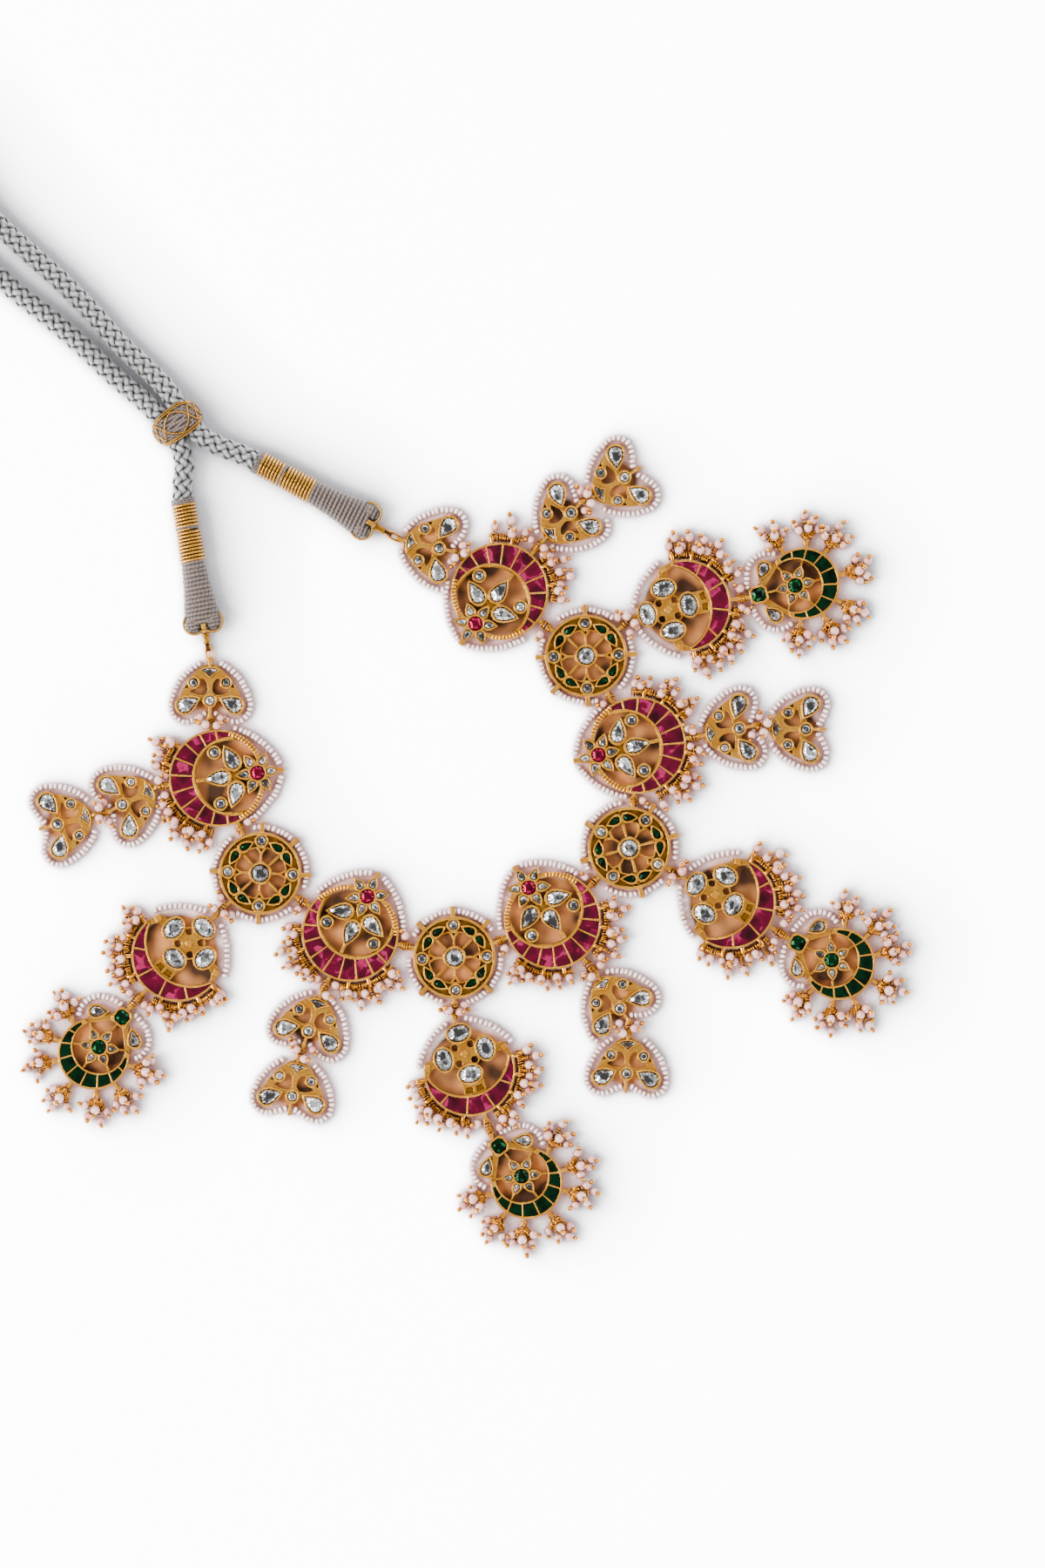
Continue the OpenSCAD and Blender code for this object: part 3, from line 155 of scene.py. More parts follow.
class Layout:
    """Places of the plates, worked out along the chain from the middle wheel.

    A step is (way to the next plate's middle, gap between the rims, way that the plate faces), so
    every place follows from the sizes.
    """

    RIGHT_CHAIN = ((20.7, 4.4, 126), (43.3, 4.5, -30), (85.3, 3.9, 194), (120, 3.9, 2), (143.2, 5.2, -127))
    LEFT_CHAIN = ((166.8, 5, 65), (146.4, 5.3, -2.5), (114.2, 4.2, 7.5))
    FAN_STEPS = ((29.4, 4.6, 193), (-28.4, 5.5, 151), (-84, 5.3, 106), (-135.4, 6.1, 46.5))
    PENDANT_STEPS = ((10.3, 2.9, 194), (-29.4, 4.2, 153), (-63.7, 4.6, 127), (-130.7, 5.3, 52))
    HEART_STEPS = ((47.8, 5.9, 45), (9.4, 5, 11), (-52.7, 7.2, -55), (-113, 6.1, -109), (195.6, 3.8, 207))
    LOWER_STEPS = ((33.5, 2.3, 32), (-0.5, 3, -1), (-84.1, 2.7, -93), (-104.1, 3.1, -100), (196.8, 3.3, 195))
    END_HEART_STEPS = ((144.8, 2.8, -12.6), (95.6, 3.8, -90))
    LEAF_WHEEL = ((0, 0), (1, 0), (1, 1), (2, 1), (2, 2), (3, 2), (3, 3), (4, 3))
    TIE_WAYS = (151.5, 99.5)

    def __init__(self, sizes: Sizes) -> None:
        """Works out every place.

        Args:
            sizes: the shared sizes.
        """
        self.z = sizes
        z = sizes
        right = self.chain(self.RIGHT_CHAIN)
        left = self.chain(self.LEFT_CHAIN)
        self.wheels: list[Place] = [right[3], right[1], (0.0, 0.0, 2.0), left[1]]
        self.leaves = [(*at[:2], at[2] - 90.0) for at in (right[4], right[2], right[0], left[0], left[2])]
        self.fan_lug_y = z.fan_oval_r + z.fan_oval_w / 2 + z.bezel_w + z.stone_gap + 1.4
        self.fans = self.hung(self.wheels, z.wheel_r + self.fan_lug_y, self.FAN_STEPS)
        self.crescents = [self.spot(fan, 0.0, -0.367 * z.fan_r) for fan in self.fans]
        self.head_y = 1.05 * z.pendant_r
        self.head_lug_y = self.head_y + z.head_stone_w / 2 + z.bezel_w + z.stone_gap + z.lug_out
        reach = z.fan_r + 2 * z.lug_out + self.head_lug_y
        self.pendants = self.hung(self.crescents, reach, self.PENDANT_STEPS)
        self.pendant_drop = 0.233 * z.pendant_r
        self.tip_y = -z.heart_l - z.lug_out
        upper = self.hung(self.leaves, z.leaf_r + z.heart_l, self.HEART_STEPS)
        lower = self.hung(upper, z.heart_lug_l - self.tip_y, self.LOWER_STEPS)
        ends = self.hung(self.leaves[::4], z.leaf_r + z.heart_lug_l, self.END_HEART_STEPS)
        self.hearts = upper + lower + ends
        self.links = self.lug_pairs()

    def chain(self, steps: tuple) -> list[Place]:
        """Middles and ways of one chain's plates, each the last one plus its step."""
        reach = self.z.wheel_r + self.z.leaf_r
        middles = np.cumsum([polar(reach + gap, way) for way, gap, _ in steps], axis=0)
        return [(at[0], at[1], step[2]) for at, step in zip(middles, steps)]

    @staticmethod
    def hung(carriers: list, reach: float, steps: tuple) -> list[Place]:
        """Places of the plates that hang from others by a step each, whose +Y is the step's way.

        Args:
            carriers: places or points that they hang from.
            reach: both plates' reaches together.
            steps: a step for each.

        Returns:
            The places.
        """
        middles = [np.array(at[:2]) + polar(reach + gap, way) for at, (way, gap, _) in zip(carriers, steps)]
        return [(float(at[0]), float(at[1]), step[2] - 90.0) for at, step in zip(middles, steps)]

    @staticmethod
    def spot(place: Place, x: float, y: float) -> np.ndarray:
        """One point of a plate's own frame, in the shared frame."""
        return placed(np.array([x, y]), place)

    def lug_pairs(self) -> dict[str, list[tuple[np.ndarray, np.ndarray]]]:
        """Pairs of lug holes that a jump ring joins, by the kinds of plate that meet there."""
        z = self.z
        leaf_out, wheel_out = z.leaf_r + z.lug_out, z.wheel_r + z.lug_out
        tips = [self.spot(heart, 0.0, self.tip_y) for heart in self.hearts]
        notches = [self.spot(heart, 0.0, z.heart_lug_l) for heart in self.hearts]
        fan_eyes = [self.spot(fan, 0.0, self.fan_lug_y) for fan in self.fans]
        heads = [self.spot(pendant, 0.0, self.head_lug_y) for pendant in self.pendants]
        return {
            "leaf_wheel": [(towards(self.leaves[a], self.wheels[b], leaf_out),
                            towards(self.wheels[b], self.leaves[a], wheel_out)) for a, b in self.LEAF_WHEEL],
            "leaf_heart": [(towards(leaf, tip, leaf_out), tip) for leaf, tip in zip(self.leaves, tips)],
            "heart_heart": list(zip(notches[:5], tips[5:10])),
            "ends": [(notch, towards(leaf, notch, leaf_out))
                     for notch, leaf in zip(notches[10:], self.leaves[::4])],
            "wheel_fan": [(towards(wheel, eye, wheel_out), eye) for wheel, eye in zip(self.wheels, fan_eyes)],
            "fan_pendant": [(towards(c, head, z.fan_r + 2 * z.lug_out), head)
                            for c, head in zip(self.crescents, heads)],
            "ties": [(tip, tip + polar(z.end_ring_d, way)) for tip, way in zip(tips[10:], self.TIE_WAYS)],
        }


# Surfaces


@dataclass
class Shape:
    """A surface: points in millimetres, the faces between them, and values that a finish reads."""

    points: np.ndarray
    quads: np.ndarray
    tris: np.ndarray = field(default_factory=lambda: np.zeros((0, 3), dtype=int))
    tint: np.ndarray | None = None
    lay: np.ndarray | None = None

    def __post_init__(self) -> None:
        """Fills in zero tint and lay where none is given."""
        n = len(self.points)
        self.tint = np.zeros(n) if self.tint is None else self.tint
        self.lay = np.zeros((n, 2)) if self.lay is None else self.lay

    def moved(self, place: Place) -> Shape:
        """The same surface at a plate's place."""
        return replace(self, points=placed(self.points, place))


def joined(shapes: list[Shape]) -> Shape:
    """One surface out of several: each one's faces count on from the points before."""
    starts = np.cumsum([0] + [len(s.points) for s in shapes])
    parts = ([s.points for s in shapes], [s.quads + k for s, k in zip(shapes, starts)],
             [s.tris + k for s, k in zip(shapes, starts)], [s.tint for s in shapes], [s.lay for s in shapes])
    return Shape(*(np.concatenate(part) for part in parts))


def joined_pairs(pairs: list[tuple[Shape, Shape]]) -> tuple[Shape, Shape]:
    """The first surfaces of some pairs as one, and the second ones as one."""
    return joined([first for first, _ in pairs]), joined([second for _, second in pairs])


def grid_faces(rows: int, cols: int, round_rows: bool = False) -> np.ndarray:
    """Four-sided faces of a grid that closes on itself along its columns.

    Args:
        rows: rings of the grid.
        cols: points in a ring, counter-clockwise seen against the way of the rows.
        round_rows: whether the last ring joins the first, as on a closed hoop.

    Returns:
        Faces (i, j), (i, j + 1), (i + 1, j + 1), (i + 1, j), which point outwards.
    """
    i = np.arange(rows if round_rows else rows - 1)[:, None]
    j = np.arange(cols)[None, :]
    here, beyond = i * cols, ((i + 1) % rows) * cols
    k = (j + 1) % cols
    return np.stack([here + j, here + k, beyond + k, beyond + j], axis=-1).reshape(-1, 4)


def cap_faces(rows: int, cols: int) -> np.ndarray:
    """Fans that close a grid's first and last rings, round two poles that follow its points."""
    j = np.arange(cols)
    k = (j + 1) % cols
    pole, last = np.full(cols, rows * cols), (rows - 1) * cols
    return np.concatenate([np.stack([pole, k, j], -1), np.stack([pole + 1, last + j, last + k], -1)])


def lathe(profile: np.ndarray, cols: int) -> Shape:
    """Round body about Z: ring i has radius r_i at height z_i, and a pole closes each end.

    Args:
        profile: rows of (radius, height) from the bottom up, where the first and last are poles.
        cols: points in a ring.

    Returns:
        The closed surface.
    """
    turn, rings, rows = full_turn(cols), profile[1:-1], len(profile) - 2
    points = np.stack([rings[:, :1] * np.cos(turn), rings[:, :1] * np.sin(turn),
                       np.broadcast_to(rings[:, 1:], (rows, cols))], axis=-1).reshape(-1, 3)
    poles = [[0, 0, profile[0, 1]], [0, 0, profile[-1, 1]]]
    return Shape(np.concatenate([points, poles]), grid_faces(rows, cols), cap_faces(rows, cols))


def ball(diameter: float, rows: int, cols: int) -> Shape:
    """Sphere whose rings lie at even steps of latitude: r = d/2 cos t, z = d/2 sin t."""
    t = np.linspace(-np.pi / 2, np.pi / 2, rows + 1)
    return lathe(diameter / 2 * np.stack([np.cos(t), np.sin(t)], -1), cols)


def scatter(form: Shape, at: np.ndarray, axes: np.ndarray, scale: np.ndarray, tint: np.ndarray) -> Shape:
    """Copies of one form: each point is place + scale (x X + y Y + z Z), as one array product.

    Args:
        form: the surface that is repeated.
        at: (k, 3) places.
        axes: (k, 3, 3) whose rows are each copy's X, Y and Z, right-handed.
        scale: (k,) sizes.
        tint: (k,) value of each copy.

    Returns:
        The surface of all the copies.
    """
    n = len(form.points)
    points = at[:, None, :] + scale[:, None, None] * np.einsum("nj,kji->kni", form.points, axes)
    starts = (np.arange(len(at)) * n)[:, None, None]
    return Shape(points.reshape(-1, 3), (form.quads[None] + starts).reshape(-1, 4),
                 (form.tris[None] + starts).reshape(-1, 3), np.repeat(tint, n))


def unit(v: np.ndarray) -> np.ndarray:
    """Vectors over their own lengths."""
    return v / np.maximum(np.linalg.norm(v, axis=-1, keepdims=True), 1e-9)


def frames(main: np.ndarray, hint: np.ndarray) -> np.ndarray:
    """Right-handed axes whose Z is main and whose Y lies as near a hint as it can.

    Args:
        main: (k, 3) directions.
        hint: (k, 3) or (3,) directions that aren't along main.

    Returns:
        (k, 3, 3) rows X, Y, Z with X = Y x Z.
    """
    z = unit(main)
    y = unit(hint - np.sum(hint * z, -1, keepdims=True) * z)
    return np.stack([np.cross(y, z), y, z], axis=1)


def along(path: np.ndarray, closed: bool = False) -> np.ndarray:
    """Directions of a path by central differences, one for each of its points."""
    if closed:
        return unit(np.roll(path, -1, axis=0) - np.roll(path, 1, axis=0))
    return unit(np.gradient(path, axis=0))


def reaches(path: np.ndarray) -> np.ndarray:
    """Distance along a path at each of its points."""
    return np.concatenate([[0], np.cumsum(np.linalg.norm(np.diff(path, axis=0), axis=1))])


def sweep(path: np.ndarray, outline: np.ndarray, up: np.ndarray, grow: np.ndarray | None = None,
          closed: bool = False) -> Shape:
    """Outline carried along a path: point (i, j) is P_i + g_i (x_j S_i + y_j U_i).

    S is the side direction U x T, where T is the path's way and U the up direction made square
    to it. A fan of faces closes each end of an open path.

    Args:
        path: (n, 3) points.
        outline: (m, 2) points, counter-clockwise.
        up: (n, 3) or (3,) up directions.
        grow: (n,) factors of the outline along the path.
        closed: whether the path runs back into its start.

    Returns:
        The swept surface, with lay = (distance along, share of the half turn round).
    """
    axes = frames(along(path, closed), np.broadcast_to(up, path.shape))
    n, m = len(path), len(outline)
    g = np.ones(n) if grow is None else grow
    flat = outline[None, :, :1] * axes[:, None, 0] + outline[None, :, 1:] * axes[:, None, 1]
    points = (path[:, None, :] + g[:, None, None] * flat).reshape(-1, 3)
    reach = reaches(path)
    lay = np.stack([np.repeat(reach, m), np.tile(1 - np.abs(2 * np.arange(m) / m - 1), n)], -1)
    if closed:
        return Shape(points, grid_faces(n, m, True), lay=lay)
    lay = np.concatenate([lay, [[0, 0.5], [reach[-1], 0.5]]])
    return Shape(np.concatenate([points, path[:1], path[-1:]]), grid_faces(n, m), cap_faces(n, m), lay=lay)


def ellipse(w: float, h: float, sides: int) -> np.ndarray:
    """Outline (w/2 cos t, h/2 sin t)."""
    return spun(np.zeros(2), np.array([w / 2, 0.0]), np.array([0.0, h / 2]), full_turn(sides))


def drop_outline(length: float, width: float, sides: int) -> np.ndarray:
    """Drop with its point at +X: (l/2 cos t, w/1.54 sin t sin t/2)."""
    t = full_turn(sides)
    return np.stack([length / 2 * np.cos(t), width / 1.54 * np.sin(t) * np.sin(t / 2)], -1)


def resampled(path: np.ndarray, gap: float) -> np.ndarray:
    """The same line with its points at even distances, no more than gap apart."""
    reach = reaches(path)
    marks = np.linspace(0, reach[-1], max(int(reach[-1] / gap), 2) + 1)
    return np.stack([np.interp(marks, reach, path[:, k]) for k in range(path.shape[1])], -1)


def smooth_path(route: np.ndarray, gap: float) -> np.ndarray:
    """Smooth curve through points at even steps: the cubic through each four, then resampled.

    Args:
        route: (n, 3) chosen points.
        gap: distance between two points of the result.

    Returns:
        (m, 3) points from the first of the route to the last.
    """
    p = np.concatenate([2 * route[:1] - route[1:2], route, 2 * route[-1:] - route[-2:-1]])
    t = np.linspace(0, 1, 24, endpoint=False)[None, :, None]
    a, b, c, d = (p[k:len(p) - 3 + k, None] for k in range(4))
    fine = 0.5 * (2 * b + (c - a) * t + (2 * a - 5 * b + 4 * c - d) * t**2 + (3 * b - a - 3 * c + d) * t**3)
    return resampled(np.concatenate([fine.reshape(-1, 3), route[-1:]]), gap)


def helix(spine: np.ndarray, r_side: np.ndarray, r_up: np.ndarray,
          phase: np.ndarray) -> tuple[np.ndarray, np.ndarray]:
    """Coil about a level spine: C + a cos(phase) S + b sin(phase) U.

    Args:
        spine: (n, 3) middle line.
        r_side: (n,) half widths of the coil.
        r_up: (n,) half heights of the coil.
        phase: (n,) angle of the wire at each point, in radians.

    Returns:
        The wire's path and the outward directions along it.
    """
    axes = frames(along(spine), np.broadcast_to(UP, spine.shape))
    out = (r_side * np.cos(phase))[:, None] * axes[:, 0] + (r_up * np.sin(phase))[:, None] * axes[:, 1]
    return spine + out, unit(out)


# Finishes


class Tree:
    """A node tree with short calls that add a node, set its values and join it."""

    def __init__(self, tree: bpy.types.NodeTree) -> None:
        """Keeps the tree."""
        self.tree = tree

    def give(self, socket: bpy.types.NodeSocket, value: object) -> None:
        """Joins an input to another node's output, or sets it to a number or a colour."""
        if isinstance(value, bpy.types.NodeSocket):
            self.tree.links.new(value, socket)
        elif socket.type == "RGBA":
            socket.default_value = (*value, 1.0)
        else:
            socket.default_value = value

    def add(self, kind: str, values: dict | None = None, **settings: object) -> bpy.types.bpy_prop_collection:
        """Adds a node.

        Args:
            kind: its type, without the ShaderNode in front.
            values: numbers, colours or sockets for its inputs, by their names or numbers.
            settings: properties of the node.

        Returns:
            The node's outputs.
        """
        node = self.tree.nodes.new(kind if kind.startswith("Node") else "ShaderNode" + kind)
        for key, value in settings.items():
            setattr(node, key, value)
        for key, value in (values or {}).items():
            self.give(node.inputs[key], value)
        return node.outputs

    def math(self, how: str, a: object, b: object = 0.0) -> bpy.types.NodeSocket:
        """Result of one Math node."""
        return self.add("Math", {0: a, 1: b}, operation=how)[0]

    def times(self, a: object, b: object) -> bpy.types.NodeSocket:
        """Product of two values."""
        return self.math("MULTIPLY", a, b)

    def plus(self, a: object, b: object) -> bpy.types.NodeSocket:
        """Sum of two values."""
        return self.math("ADD", a, b)

    def less(self, a: object, b: object) -> bpy.types.NodeSocket:
        """First value less the second."""
        return self.math("SUBTRACT", a, b)

    def noise(self, vector: object, scale: object, detail: float = 3.0,
              how: str = "Fac") -> bpy.types.NodeSocket:
        """Noise with so many features a unit of its coordinates."""
        return self.add("TexNoise", {"Vector": vector, "Scale": scale, "Detail": detail})[how]

    def ramp(self, value: object, low: float, high: float, to_low: float = 0.0,
             to_high: float = 1.0) -> bpy.types.NodeSocket:
        """Value taken from one range to another, held at its ends."""
        ends = {"From Min": low, "From Max": high, "To Min": to_low, "To Max": to_high}
        return self.add("MapRange", {"Value": value} | ends)["Result"]

    def blend(self, mask: object, low: object, high: object) -> bpy.types.NodeSocket:
        """Colour between two by a mask."""
        return self.add("Mix", {0: mask, 6: low, 7: high}, data_type="RGBA")[2]

    def part(self, vector: object, axis: str) -> bpy.types.NodeSocket:
        """One number of a vector: X, Y or Z."""
        return self.add("SeparateXYZ", {0: vector})[axis]

    def own(self, name: str, how: str) -> bpy.types.NodeSocket:
        """A value that the surface carries: its tint as Fac, or its lay as Vector."""
        return self.add("Attribute", attribute_name=name)[how]

    def open_to(self, reach: float, samples: int, **values: object) -> bpy.types.NodeSocket:
        """Share of the half space round a point that nothing fills within a reach in millimetres."""
        return self.add("AmbientOcclusion", {"Distance": reach * MM} | values, samples=samples)["AO"]

    def bump(self, height: object, depth: float, soft: float = 0.0) -> bpy.types.NodeSocket:
        """Normal of a bump over softened edges.

        Args:
            height: socket from 0 to 1.
            depth: millimetres from 0 to 1.
            soft: radius of the edges in millimetres, or 0 for none.

        Returns:
            The normal.
        """
        values = {"Height": height, "Distance": depth * MM, "Strength": 1.0}
        if soft:
            values["Normal"] = self.add("Bevel", {"Radius": soft * MM}, samples=4)[0]
        return self.add("Bump", values)[0]


def effect(make: Callable[[Tree, bpy.types.bpy_prop_collection], dict], vector: str,
           numbers: tuple[str, ...]) -> bpy.types.NodeTree:
    """Group of nodes that finishes share, made the first time that it is asked for.

    Args:
        make: function that adds the nodes between the group's inputs and the outputs that it gives.
        vector: name of the input that is a vector.
        numbers: names of the inputs that are numbers.

    Returns:
        The group, under the function's name.
    """
    if make.__name__ in bpy.data.node_groups:
        return bpy.data.node_groups[make.__name__]
    group = bpy.data.node_groups.new(make.__name__, "ShaderNodeTree")
    group.interface.new_socket(vector, in_out="INPUT", socket_type="NodeSocketVector")
    for name in numbers:
        group.interface.new_socket(name, in_out="INPUT", socket_type="NodeSocketFloat")
    t = Tree(group)
    results = make(t, t.add("NodeGroupInput"))
    for name in results:
        group.interface.new_socket(name, in_out="OUTPUT", socket_type="NodeSocketFloat")
    t.add("NodeGroupOutput", results)
    return group


def gilt_tarnish_and_hollow_shade(t: Tree, given: bpy.types.bpy_prop_collection) -> dict:
    """Old gilding: patches of darker metal and fine grain, with patina and painted shade in the hollows by
    height.

    Args:
        t: the group's tree.
        given: its inputs.

    Returns:
        Patch and Grain, noise with so many features a metre, and Hollow, a mask of patina and painted
        shade which grows from 0 to 1 as Z goes down from Top to Top less Depth.
    """
    place = given["Place"]
    # Hollow: patina and painted shade, stronger lower down
    down = t.math("DIVIDE", t.less(given["Top"], t.part(place, "Z")), given["Depth"])
    return {"Patch": t.ramp(t.noise(place, given["Patch"], 4.0), 0.35, 0.68),
            "Grain": t.noise(place, given["Grain"]), "Hollow": t.ramp(down, 0.0, 1.0)}


def foil_crumple(t: Tree, given: bpy.types.bpy_prop_collection) -> dict:
    """Foil under glass, creased by hand: cells of many sizes, with painted light and shade as if each tilted
    its own way.

    Args:
        t: the group's tree.
        given: its inputs.

    Returns:
        Height for a bump, and Shade, the painted light and shade of the creases and cells.
    """
    bend = t.noise(given["Place"], given["Size"], 2.0, "Color")
    warp = t.add("VectorMath", {0: bend, "Scale": 0.0006}, operation="SCALE")[0]
    where = t.add("VectorMath", {0: given["Place"], 1: warp}, operation="ADD")[0]
    cells = t.add("TexVoronoi", {"Vector": where, "Scale": given["Size"]})
    small = t.add("TexVoronoi", {"Vector": where, "Scale": t.times(given["Size"], 2.3)})
    height = t.plus(cells["Distance"], t.times(small["Distance"], 0.4))
    # Shade: painted light and shade of the creases, and of each cell as if it tilted its own way
    tone = t.part(cells["Color"], "X")
    return {"Height": height, "Shade": t.plus(t.times(tone, 0.55), t.times(height, 0.5))}


def thread_twist(t: Tree, given: bpy.types.bpy_prop_collection) -> dict:
    """Fibres that wind round a thread: waves along lay, slanted by the turn round it.

    Args:
        t: the group's tree.
        given: its inputs.

    Returns:
        Shade, which is half of 1 + sin(along / Pitch + turn Slant + noise).
    """
    run = t.math("DIVIDE", t.part(given["Lay"], "X"), given["Pitch"])
    turn = t.times(t.part(given["Lay"], "Y"), given["Slant"])
    stray = t.times(t.noise(given["Lay"], 1.6), 5.0)
    wave = t.math("SINE", t.plus(t.plus(run, turn), stray))
    return {"Shade": t.plus(t.times(wave, 0.5), 0.5)}


@dataclass(frozen=True)
class Finish:
    """A finish: one shader, whose inputs each kind of finish works out in its own way."""

    name: str

    def material(self) -> bpy.types.Material:
        """The material, built the first time that it is asked for."""
        if self.name in bpy.data.materials:
            return bpy.data.materials[self.name]
        material = bpy.data.materials.new(self.name)
        material.use_nodes = True
        material.node_tree.nodes.clear()
        t = Tree(material.node_tree)
        shader = t.add("BsdfPrincipled", self.inputs(t, t.add("TexCoord")["Object"]))
        t.add("OutputMaterial", {0: shader[0]})
        return material

    def inputs(self, t: Tree, place: object) -> dict:
        """The shader's inputs by name, from the object coordinates of a point."""
        raise NotImplementedError


@dataclass(frozen=True)
class Gilt(Finish):
    """Gilded metal: bright on its edges, browner in patches, and darkened in its hollows by patina and
    painted shade.
    """

    bright: Colour = (0.98, 0.47, 0.06)
    dull: Colour = (0.66, 0.24, 0.016)
    # colour of the patina and painted shade in the hollows and crevices
    patina_and_shade_colour: Colour = (0.022, 0.005, 0.0005)
    rough: tuple[float, float] = (0.18, 0.3)
    top: float = 2.0
    hollow_share: float = 0.45
    grain: float = 0.3
    pebble: float = 0.03
    soft: float = 0.3

    def inputs(self, t: Tree, place: object) -> dict:
        """Colour by patch, darkened by patina and painted shade low down and by painted shade in crevices;
        roughness by patch, bump by pebbled grain.
        """
        group = effect(gilt_tarnish_and_hollow_shade, "Place", ("Patch", "Grain", "Top", "Depth"))
        worn_and_shaded = t.add("Group", {"Place": place, "Patch": 1 / (2.5 * MM), "Grain": 1 / (self.grain * MM),
                               "Top": self.top * MM, "Depth": 0.9 * MM}, node_tree=group)
        # painted shade in crevices, where nearby surfaces close a point in
        closed = t.times(t.ramp(t.open_to(2.2, 4), 0.3, 0.78, 1.0, 0.0), 0.95)
        # patina and painted shade by height, joined with the painted crevice shade
        patina_and_shade_mask = t.math("MAXIMUM", t.times(worn_and_shaded["Hollow"], self.hollow_share), closed)
        body = t.blend(worn_and_shaded["Patch"], self.bright, self.dull)
        return {"Base Color": t.blend(patina_and_shade_mask, body, self.patina_and_shade_colour), "Metallic": 1.0,
                "Roughness": t.ramp(worn_and_shaded["Patch"], 0, 1, *self.rough),
                "Normal": t.bump(worn_and_shaded["Grain"], self.pebble, self.soft)}


@dataclass(frozen=True)
class FoiledGlass(Finish):
    """Cut glass over foil: a clear coat over creased metal of the glass's colour."""

    light: Colour
    dark: Colour
    crease: float
    depth: float
    rough: float
    coat: float = 1.0
    by_tint: float = 0.0
    # share of the painted dark reflection on the table
    core: float = 0.0
    # colour of the painted glint on the brightest cells
    painted_glint: Colour | None = None

    def inputs(self, t: Tree, place: object) -> dict:
        """Colour by the foil's painted light and shade and by stone, a painted dark reflection on its
        table by core, a painted glint on its brightest cells, and a gloss coat.
        """
        group = effect(foil_crumple, "Place", ("Size",))
        foil = t.add("Group", {"Place": place, "Size": 1 / (self.crease * MM)}, node_tree=group)
        shade = foil["Shade"]
        if self.by_tint:
            shade = t.plus(shade, t.times(t.less(t.own("tint", "Fac"), 0.5), self.by_tint))
        if self.core:
            # painted dark reflection, growing towards the table
            inward = t.part(t.own("lay", "Vector"), "X")
            shade = t.less(shade, t.times(t.ramp(inward, 0.55, 1.0), self.core))
        body = t.blend(t.ramp(shade, 0.2, 0.9), self.dark, self.light)
        if self.painted_glint:
            # painted glint on the brightest cells
            body = t.blend(t.ramp(shade, 0.8, 0.92), body, self.painted_glint)
        return {"Base Color": body, "Metallic": 1.0, "Roughness": self.rough, "Coat Weight": self.coat,
                "Coat Roughness": 0.02, "Coat IOR": 1.52, "Normal": t.bump(foil["Height"], self.depth)}


@dataclass(frozen=True)
class Nacre(Finish):
    """Pearl or glass bead: pale body whose tone differs from bead to bead, under a soft gloss."""

    pale: Colour
    rose: Colour
    # colour of the painted shade at the rim and in hollows
    rim: Colour
    rough: float
    milky: float

    def inputs(self, t: Tree, place: object) -> dict:
        """Colour by tint and faint cloud, with painted shade at its rim and in hollows, and a coat."""
        cloud = t.noise(place, 1 / (0.8 * MM))
        tone = t.ramp(t.plus(t.own("tint", "Fac"), t.times(cloud, 0.5)), 0.15, 1.25)
        # painted shade towards the rim, as a lit ball darkens at its edge, and in hollows
        painted_rim_shade = t.ramp(t.add("LayerWeight", {"Blend": 0.5})["Facing"], 0.12, 0.85)
        shaded = t.math("MAXIMUM", painted_rim_shade, t.ramp(t.open_to(1.3, 2), 0.35, 0.85, 1.0, 0.0))
        return {"Base Color": t.blend(shaded, t.blend(tone, self.pale, self.rose), self.rim),
                "Roughness": t.ramp(cloud, 0.3, 0.7, self.rough * 0.7, self.rough * 1.4),
                "Subsurface Weight": self.milky, "Subsurface Radius": (1.0, 0.6, 0.5),
                "Subsurface Scale": 0.8 * MM, "Coat Weight": 0.8, "Coat Roughness": 0.12,
                "Normal": t.bump(cloud, 0.02)}


@dataclass(frozen=True)
class Thread(Finish):
    """Twisted thread: fibres wind along its lay, with painted shade between them, and a soft sheen."""

    light: Colour
    dark: Colour
    pitch: float
    slant: float
    rough: float
    depth: float
    # share of colour kept at the sides, where the painted shade between turns falls
    painted_side_shade: float
    metallic: float = 0.0
    sheen: float = 0.4

    def inputs(self, t: Tree, place: object) -> dict:
        """Colour and bump by the twist of the fibres, with painted shade between them, darker in patches,
        and with painted shade at its sides and in hollows.
        """
        lay = t.own("lay", "Vector")
        group = effect(thread_twist, "Lay", ("Pitch", "Slant"))
        twist = t.add("Group", {"Lay": lay, "Pitch": self.pitch, "Slant": self.slant}, node_tree=group)
        fibre = twist["Shade"]
        patch = t.noise(place, 1 / (2.2 * MM), 4.0)
        # painted shade between the fibres; the patches are tone that differs at random
        shade = t.times(t.ramp(fibre, 0, 1, 0.6, 1.0), t.ramp(patch, 0.3, 0.7, 0.75, 1.0))
        # painted shade at the sides, where the turns meet, and in hollows
        side = t.math("ABSOLUTE", t.less(t.part(lay, "Y"), 0.5))
        shade = t.times(shade, t.ramp(side, 0.07, 0.31, 1.0, self.painted_side_shade))
        shade = t.times(shade, t.ramp(t.open_to(1.0, 2), 0.42, 0.9))
        return {"Base Color": t.blend(shade, self.dark, self.light), "Metallic": self.metallic,
                "Roughness": t.ramp(patch, 0.2, 0.8, self.rough * 0.85, self.rough * 1.15),
                "Sheen Weight": self.sheen, "Sheen Roughness": 0.4, "Normal": t.bump(fibre, self.depth)}


